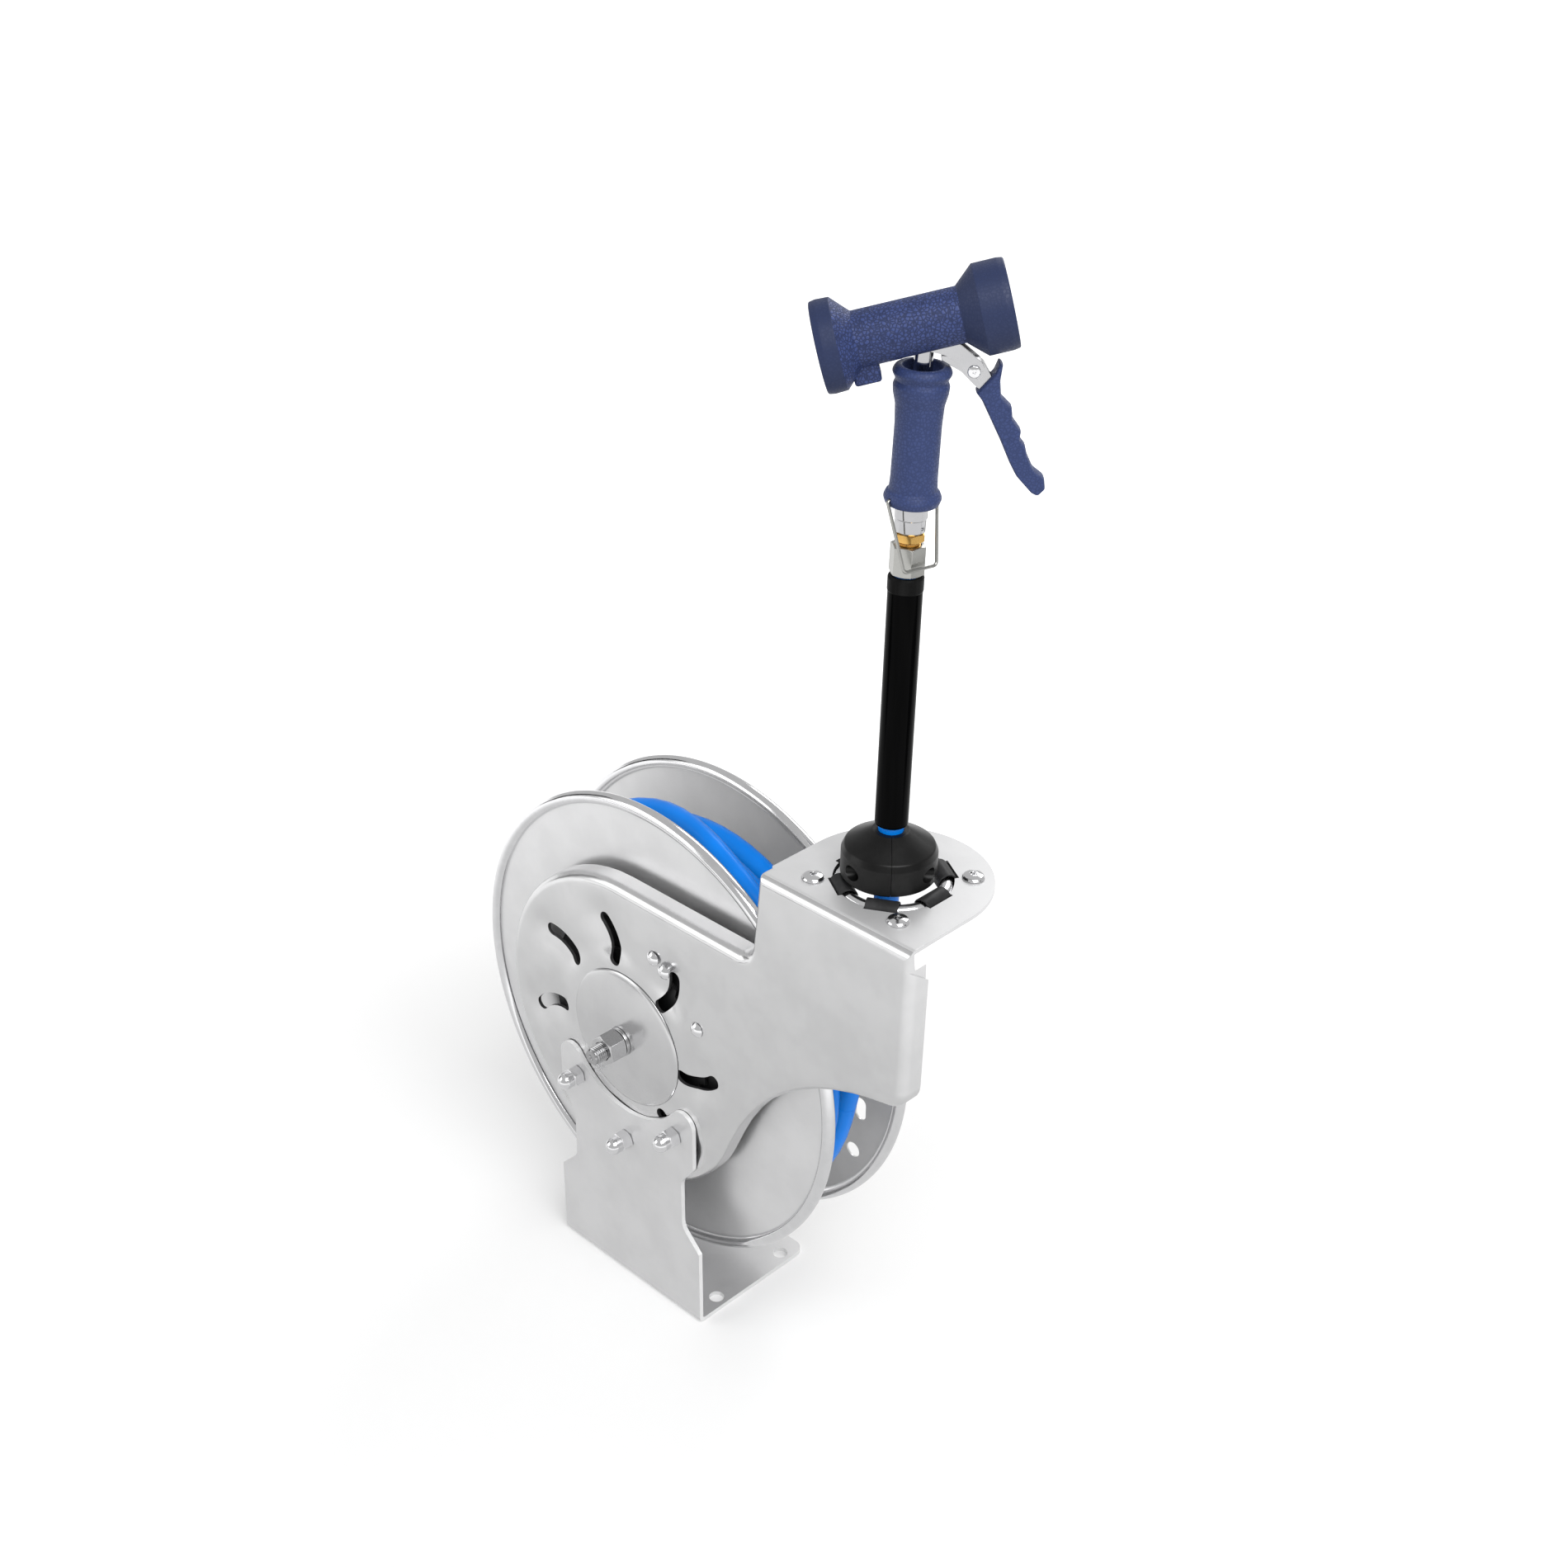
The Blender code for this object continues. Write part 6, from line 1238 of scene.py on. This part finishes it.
def make_gun():
    handle_top, handle_foot = BAIL_RISE - 0.0055 + GRIP_L - 0.006, COLLAR_TOP + GAP
    section = [
        (0, BARREL_RISE), (STEM_R, BARREL_RISE), (STEM_R, handle_top), (HANDLE_R, handle_top - 0.002),
        (HANDLE_R, handle_foot), (0, handle_foot),
    ]
    core_front, core_rear = BARREL_FRONT - BARREL_MOUTH, -BARREL_REAR + BARREL_BLIND
    core = put(rod(BARREL_CORE_R, core_rear, core_front, 72), TO_GUN @ BARREL)
    lows = (-EAR_INNER - EAR_T, EAR_INNER)
    ears = [put(prism(outline(ear_corners()), low, low + EAR_T, 0.0005), FRONT_ON) for low in lows]
    for face in (face for ear in ears for face in ear.faces):
        face.material_index = 1
    body = carved(spun(section, 64), [core, *ears], "UNION")
    valve_low = TRIGGER_Z + 0.0098
    tools = [
        put(rod(PIN_R + GAP, -0.02, 0.02, 24), TO_GUN @ TRIGGER @ turned(90, "X")),
        put(rod(VALVE_R + GAP, valve_low, valve_low + 0.027, 24), moved(VALVE_X, 0, 0)),
        put(rod(0.004, 0.02, 0.1, 32), TO_GUN @ BARREL),
    ]
    body = carved(body, tools)
    finished("gun_metal", "gun_body", body, GUN, "gun", "polished", CHROME, LEVER_STEEL, rounding=0.0002)
    valve, at = rod(VALVE_R, valve_low, valve_low + VALVE_L, 32), GUN @ moved(VALVE_X, 0, 0)
    finished("valve_stem", "valve_rod", valve, at, "valve", "polished", CHROME)
    low = core_front + GAP
    tip = eased([(0.004, low + 0.005), (0.0105, low + 0.004, 0.001), (0.0115, low), (0.004, low)])
    finished("nozzle_ring", "nozzle_tip", spun(tip, 64, True), BARREL, "gun", "polished", CHROME)
    pin_half = EAR_INNER + EAR_T + GAP
    pin = pan_screw(PIN_R + 0.0022, 0.0013, PIN_R, 2 * pin_half + 0.0008, 25)
    at = TRIGGER @ turned(90, "X") @ moved(0, 0, pin_half)
    finished("pivot_screw", "trigger_pin", pin, at, "gun", "polished", BRIGHT, rounding=0.0001)


def make_grip():
    low = BAIL_RISE - 0.0060
    rim, wall, top, bore = GRIP_RIM_R, GRIP_R, low + GRIP_L, HANDLE_R + GAP
    profile = [
        (bore, top - 0.0070), (rim - 0.0072, top - 0.0045, 0.001), (rim - 0.0062, top, 0.0016),
        (rim - 0.0016, top - 0.0004, 0.0034), (rim + 0.0004, top - 0.0046, 0.003),
        (rim - 0.0018, top - 0.0086, 0.0026), (wall + 0.0016, top - 0.0100, 0.0010),
        (wall + 0.0030, top - 0.0135, 0.003), (wall + 0.0026, top - 0.0185, 0.006),
        (wall + 0.0006, top - 0.0265, 0.012), (wall - 0.0001, top - 0.0400, 0.03),
        (wall + 0.0001, low + 0.0200, 0.02), (wall + 0.0006, low + 0.0112, 0.002),
        (rim - 0.0014, low + 0.0098, 0.0020), (rim + 0.0003, low + 0.0058, 0.0034),
        (rim - 0.0014, low + 0.0012, 0.0026), (rim - 0.0058, low, 0.001), (COLLAR_R + 0.0004, low),
        (COLLAR_R + 0.0004, COLLAR_TOP + 0.0002), (bore, COLLAR_TOP + 0.0004),
    ]
    to_bail, reaches = TO_GUN @ BAIL @ turned(90, "Y"), ((-0.03, -0.0128), (0.0128, 0.03))
    ends = [put(rod(BAIL_WIRE_R + GAP, *reach, 20), to_bail) for reach in reaches]
    cover = carved(spun(eased(profile), 120, True), ends)
    finished("grip_rubber", "grip_cover", cover, GUN, "gun", "navy_rubber", NAVY_FINE, crease=50)


def make_barrel_cover():
    bore = BARREL_CORE_R + GAP
    front, rear, body = BARREL_FRONT, -BARREL_REAR, BARREL_R
    big, tail, blind = BUMPER_FRONT_R, BUMPER_REAR_R, rear + BARREL_BLIND - GAP
    profile = [
        (0, blind), (bore, blind), (bore, front - 0.0035), (bore + 0.0010, front, 0.0006),
        (big - 0.0008, front, 0.0013), (big, front - 0.0045, 0.006), (big, front - 0.0208, 0.0008),
        (body, front - 0.0335, 0.0012), (body + 0.0002, rear + 0.0250, 0.0015),
        (tail - 0.0004, rear + 0.0134, 0.001), (tail, rear + 0.0045, 0.006),
        (tail - 0.0008, rear, 0.0013), (0, rear),
    ]
    lug = block((BARREL_CORE_R + 0.002, -0.0085, rear + 0.018), (0.0290, 0.0085, rear + 0.0360), 0.002)
    half = LEVER_W / 2 + EAR_T + 0.0016
    opening = block((0.006, -half, -0.0200), (0.040, half, front - 0.0275))
    cover = carved(carved(spun(eased(profile), 120), [lug], "UNION"), [opening])
    piece = finished(
        "barrel_rubber", "barrel_cover", cover, BARREL, "gun", "navy_rubber", NAVY, NAVY_PLAIN, crease=40,
    )
    refinished(piece, BARREL, lambda at: at.z > front - 0.0330 or at.z < rear + 0.0150)


def cushion(corners, half, inwards, drop, steps=6):
    """A flat outline whose two rims are rounded, further along Z than inwards."""
    bends = [radians(90 * i / steps) for i in range(steps + 1)]
    rows = [(inwards * (1 - sin(a)), half - drop * (1 - cos(a))) for a in bends]
    rows += [(inset, -height) for inset, height in reversed(rows)]
    return ringed(corners, rows, (0, len(rows) - 1))


LEVER_CORNERS = [
    (-0.0220, 0.0090, 0.0008), (-0.0215, 0.0055, 0.0015), (-0.0080, -0.0015, 0.006), (0.0005, -0.0095, 0.010),
    (0.0070, -0.0145, 0.004), (0.0130, -0.0215, 0.006), (0.0205, -0.0375, 0.02), (0.0348, -0.0650, 0.02),
    (0.0385, -0.0700, 0.0015), (0.0420, -0.0675, 0.0015), (0.0255, -0.0345, 0.02), (0.0165, -0.0165, 0.006),
    (0.0128, -0.0050, 0.004), (0.0060, 0.0062, 0.006), (-0.0100, 0.0085, 0.01),
]
TRIGGER_CORNERS = [
    (0.0026, -0.0148, 0.001), (0.0069, -0.0200, 0.006), (0.0208, -0.0455, 0.05), (0.0290, -0.0620, 0.03),
    (0.0343, -0.0710, 0.012), (0.0452, -0.0822, 0.004), (0.0500, -0.0845, 0.003), (0.0548, -0.0790, 0.002),
    (0.0535, -0.0718, 0.003), (0.0455, -0.0660, 0.007), (0.0405, -0.0565, 0.008), (0.0385, -0.0500, 0.002),
    (0.0345, -0.0455, 0.003), (0.0348, -0.0398, 0.002), (0.0285, -0.0320, 0.004), (0.0272, -0.0240, 0.002),
    (0.0195, -0.0170, 0.005), (0.0180, -0.0060, 0.008), (0.0188, 0.0045, 0.0012), (0.0162, 0.0070, 0.0012),
    (0.0135, -0.0010, 0.006),
]


def make_trigger():
    blade = put(prism(outline(LEVER_CORNERS), -LEVER_W / 2, LEVER_W / 2, 0.0006), FRONT_ON)
    blade = carved(blade, [put(rod(PIN_R + GAP, -0.02, 0.02, 32), turned(90, "X"))])
    look = "trigger", "polished", LEVER_STEEL
    finished("lever_blade", "trigger_lever", blade, TRIGGER, *look, crease=35)
    cover = put(cushion(TRIGGER_CORNERS, TRIGGER_W / 2, 0.0015, 0.0062), FRONT_ON)
    half = LEVER_W / 2 + GAP
    cover = carved(cover, [put(prism(outline(LEVER_CORNERS, -GAP), -half, half), FRONT_ON)])
    look = "trigger", "navy_rubber", NAVY_FINE
    finished("trigger_rubber", "trigger_cover", cover, TRIGGER, *look, crease=50)


def make_bail():
    inner, side, bar = 0.0142, GRIP_RIM_R + BAIL_WIRE_R + 0.0006, 0.0138
    corners = [(inner, 0, 0), (side - 0.0004, 0, 0.0016), (bar + 0.0001, -BAIL_L, 0.0030)]
    corners += [(-x, z, r) for x, z, r in reversed(corners)]
    wire = tube([(x, 0, z) for x, z in eased(corners)], BAIL_WIRE_R, 16)
    finished("wire_bail", "lock_bail", wire, BAIL_WIRE, "bail", "polished", WIRE, crease=60)


make_bracket()
make_arm()
make_hub()
make_axle()
make_guide()
make_spool()
make_pawl()
make_hose()
make_swivel()
make_stop()
make_couplings()
make_gun()
make_grip()
make_barrel_cover()
make_trigger()
make_bail()

# ---- carried-over nodes
for node, material in (("ratchet_wheel", BLACK_PAINT), ("mainspring", BLUED)):
    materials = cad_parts[node].data.materials
    materials.clear()
    materials.append(material)

# ---- studio
WHITE = (1, 1, 1, 1)


def make_floor():
    """A white floor that keeps the shadow. Its glow evens it out for the camera.

    In mirrors the floor is a glow alone, a painted reflection: darker near the reel as painted shade,
    brighter further away.
    """
    paint = bpy.data.materials.new("studio_floor")
    paint.use_nodes = True
    paint.node_tree.nodes.clear()
    nodes = Nodes(paint.node_tree)
    seen = nodes.node("ShaderNodeLightPath", output="Is Camera Ray")
    mirrored = nodes.node("ShaderNodeLightPath", output="Is Glossy Ray")
    place = nodes.node("ShaderNodeTexCoord", output="Object")
    away = nodes.node("ShaderNodeVectorMath", {"operation": "LENGTH"}, [place], "Value")
    lift = seen * away.stepped(0.40, 1.3, 0.11, 0.66)
    matt = nodes.node("ShaderNodeBsdfDiffuse", None, {"Color": (0.90, 0.90, 0.90, 1)})
    lifted = nodes.node("ShaderNodeEmission", None, {"Strength": lift})
    shown = nodes.node("ShaderNodeAddShader", None, (matt, lifted))
    # Seen in mirrors the floor is an emitter only: a painted reflection, dimmer near the reel and brighter
    # away from it.
    glow = nodes.node("ShaderNodeEmission", None, {"Strength": away.stepped(0.30, 1.3, 0.72, 1.25)})
    surface = nodes.node("ShaderNodeMixShader", None, (mirrored, shown, glow))
    nodes.node("ShaderNodeOutputMaterial", None, {"Surface": surface})
    shape = bmesh.new()
    bmesh.ops.create_circle(shape, cap_ends=True, segments=64, radius=30)
    floor = held("studio_floor", shape, paint)
    floor.location.z = -0.0002


def make_world():
    """White to the camera, and a softer light on the object."""
    world = bpy.data.worlds.new("studio")
    bpy.context.scene.world = world
    world.use_nodes = True
    nodes = Nodes(world.node_tree)
    rays = [nodes.node("ShaderNodeLightPath", output=f"Is {kind} Ray") for kind in ("Camera", "Transmission")]
    seen = nodes.node("ShaderNodeMath", {"operation": "MAXIMUM"}, rays)
    sky = world.node_tree.nodes["Background"]
    level = nodes.node("ShaderNodeMapRange", None, {"Value": seen, "To Min": 0.54, "To Max": 1.0})
    nodes.feed(sky.inputs["Strength"], level)
    nodes.feed(sky.inputs["Color"], WHITE)


def facing(at, aim, axis):
    return (Vector(aim) - Vector(at)).to_track_quat(axis, "Y")


def softbox(name, at, aim, width, height, watts):
    lamp = bpy.data.lights.new(name, "AREA")
    lamp.shape = "RECTANGLE"
    lamp.size, lamp.size_y = width, height
    lamp.energy = watts
    holder = linked(name, lamp)
    holder.location = at
    holder.rotation_euler = facing(at, aim, "-Z").to_euler()


def dark_card(name, at, aim, width, height):
    """A black studio card beside the set: it gives the bright metal its dark reflections."""
    shape = bmesh.new()
    bmesh.ops.create_grid(shape, x_segments=1, y_segments=1, size=0.5)
    bmesh.ops.scale(shape, verts=shape.verts, vec=(width, height, 1))
    put(shape, moved(*at) @ facing(at, aim, "Z").to_matrix().to_4x4())
    card = held(name, shape, Finish(name, (0.01, 0.01, 0.01), 1.0).material)
    card.visible_camera = False
    card.visible_diffuse = False
    card.visible_shadow = False


make_floor()
make_world()
softbox("key_softbox", (1.6, -0.6, 2.4), (0.05, 0, 0.4), 1.6, 1.6, 42)
softbox("fill_softbox", (-1.8, -2.2, 1.5), (0.05, 0, 0.3), 1.8, 1.8, 16)
softbox("back_softbox", (-0.6, 2.4, 2.2), (0.05, 0, 0.4), 1.6, 1.2, 20)
dark_card("card_left", (-2.6, -0.9, 0.6), (0, 0, 0.3), 0.5, 2.4)
dark_card("card_right", (2.4, 0.9, 0.5), (0, 0, 0.3), 0.5, 2.2)
dark_card("floor_card_left", (-0.80, -1.08, 0.004), (-0.80, -1.08, 1), 0.55, 0.42)
dark_card("floor_card_right", (1.30, 0.72, 0.004), (1.30, 0.72, 1), 0.50, 0.70)

bpy.context.scene.view_settings.view_transform = "Standard"
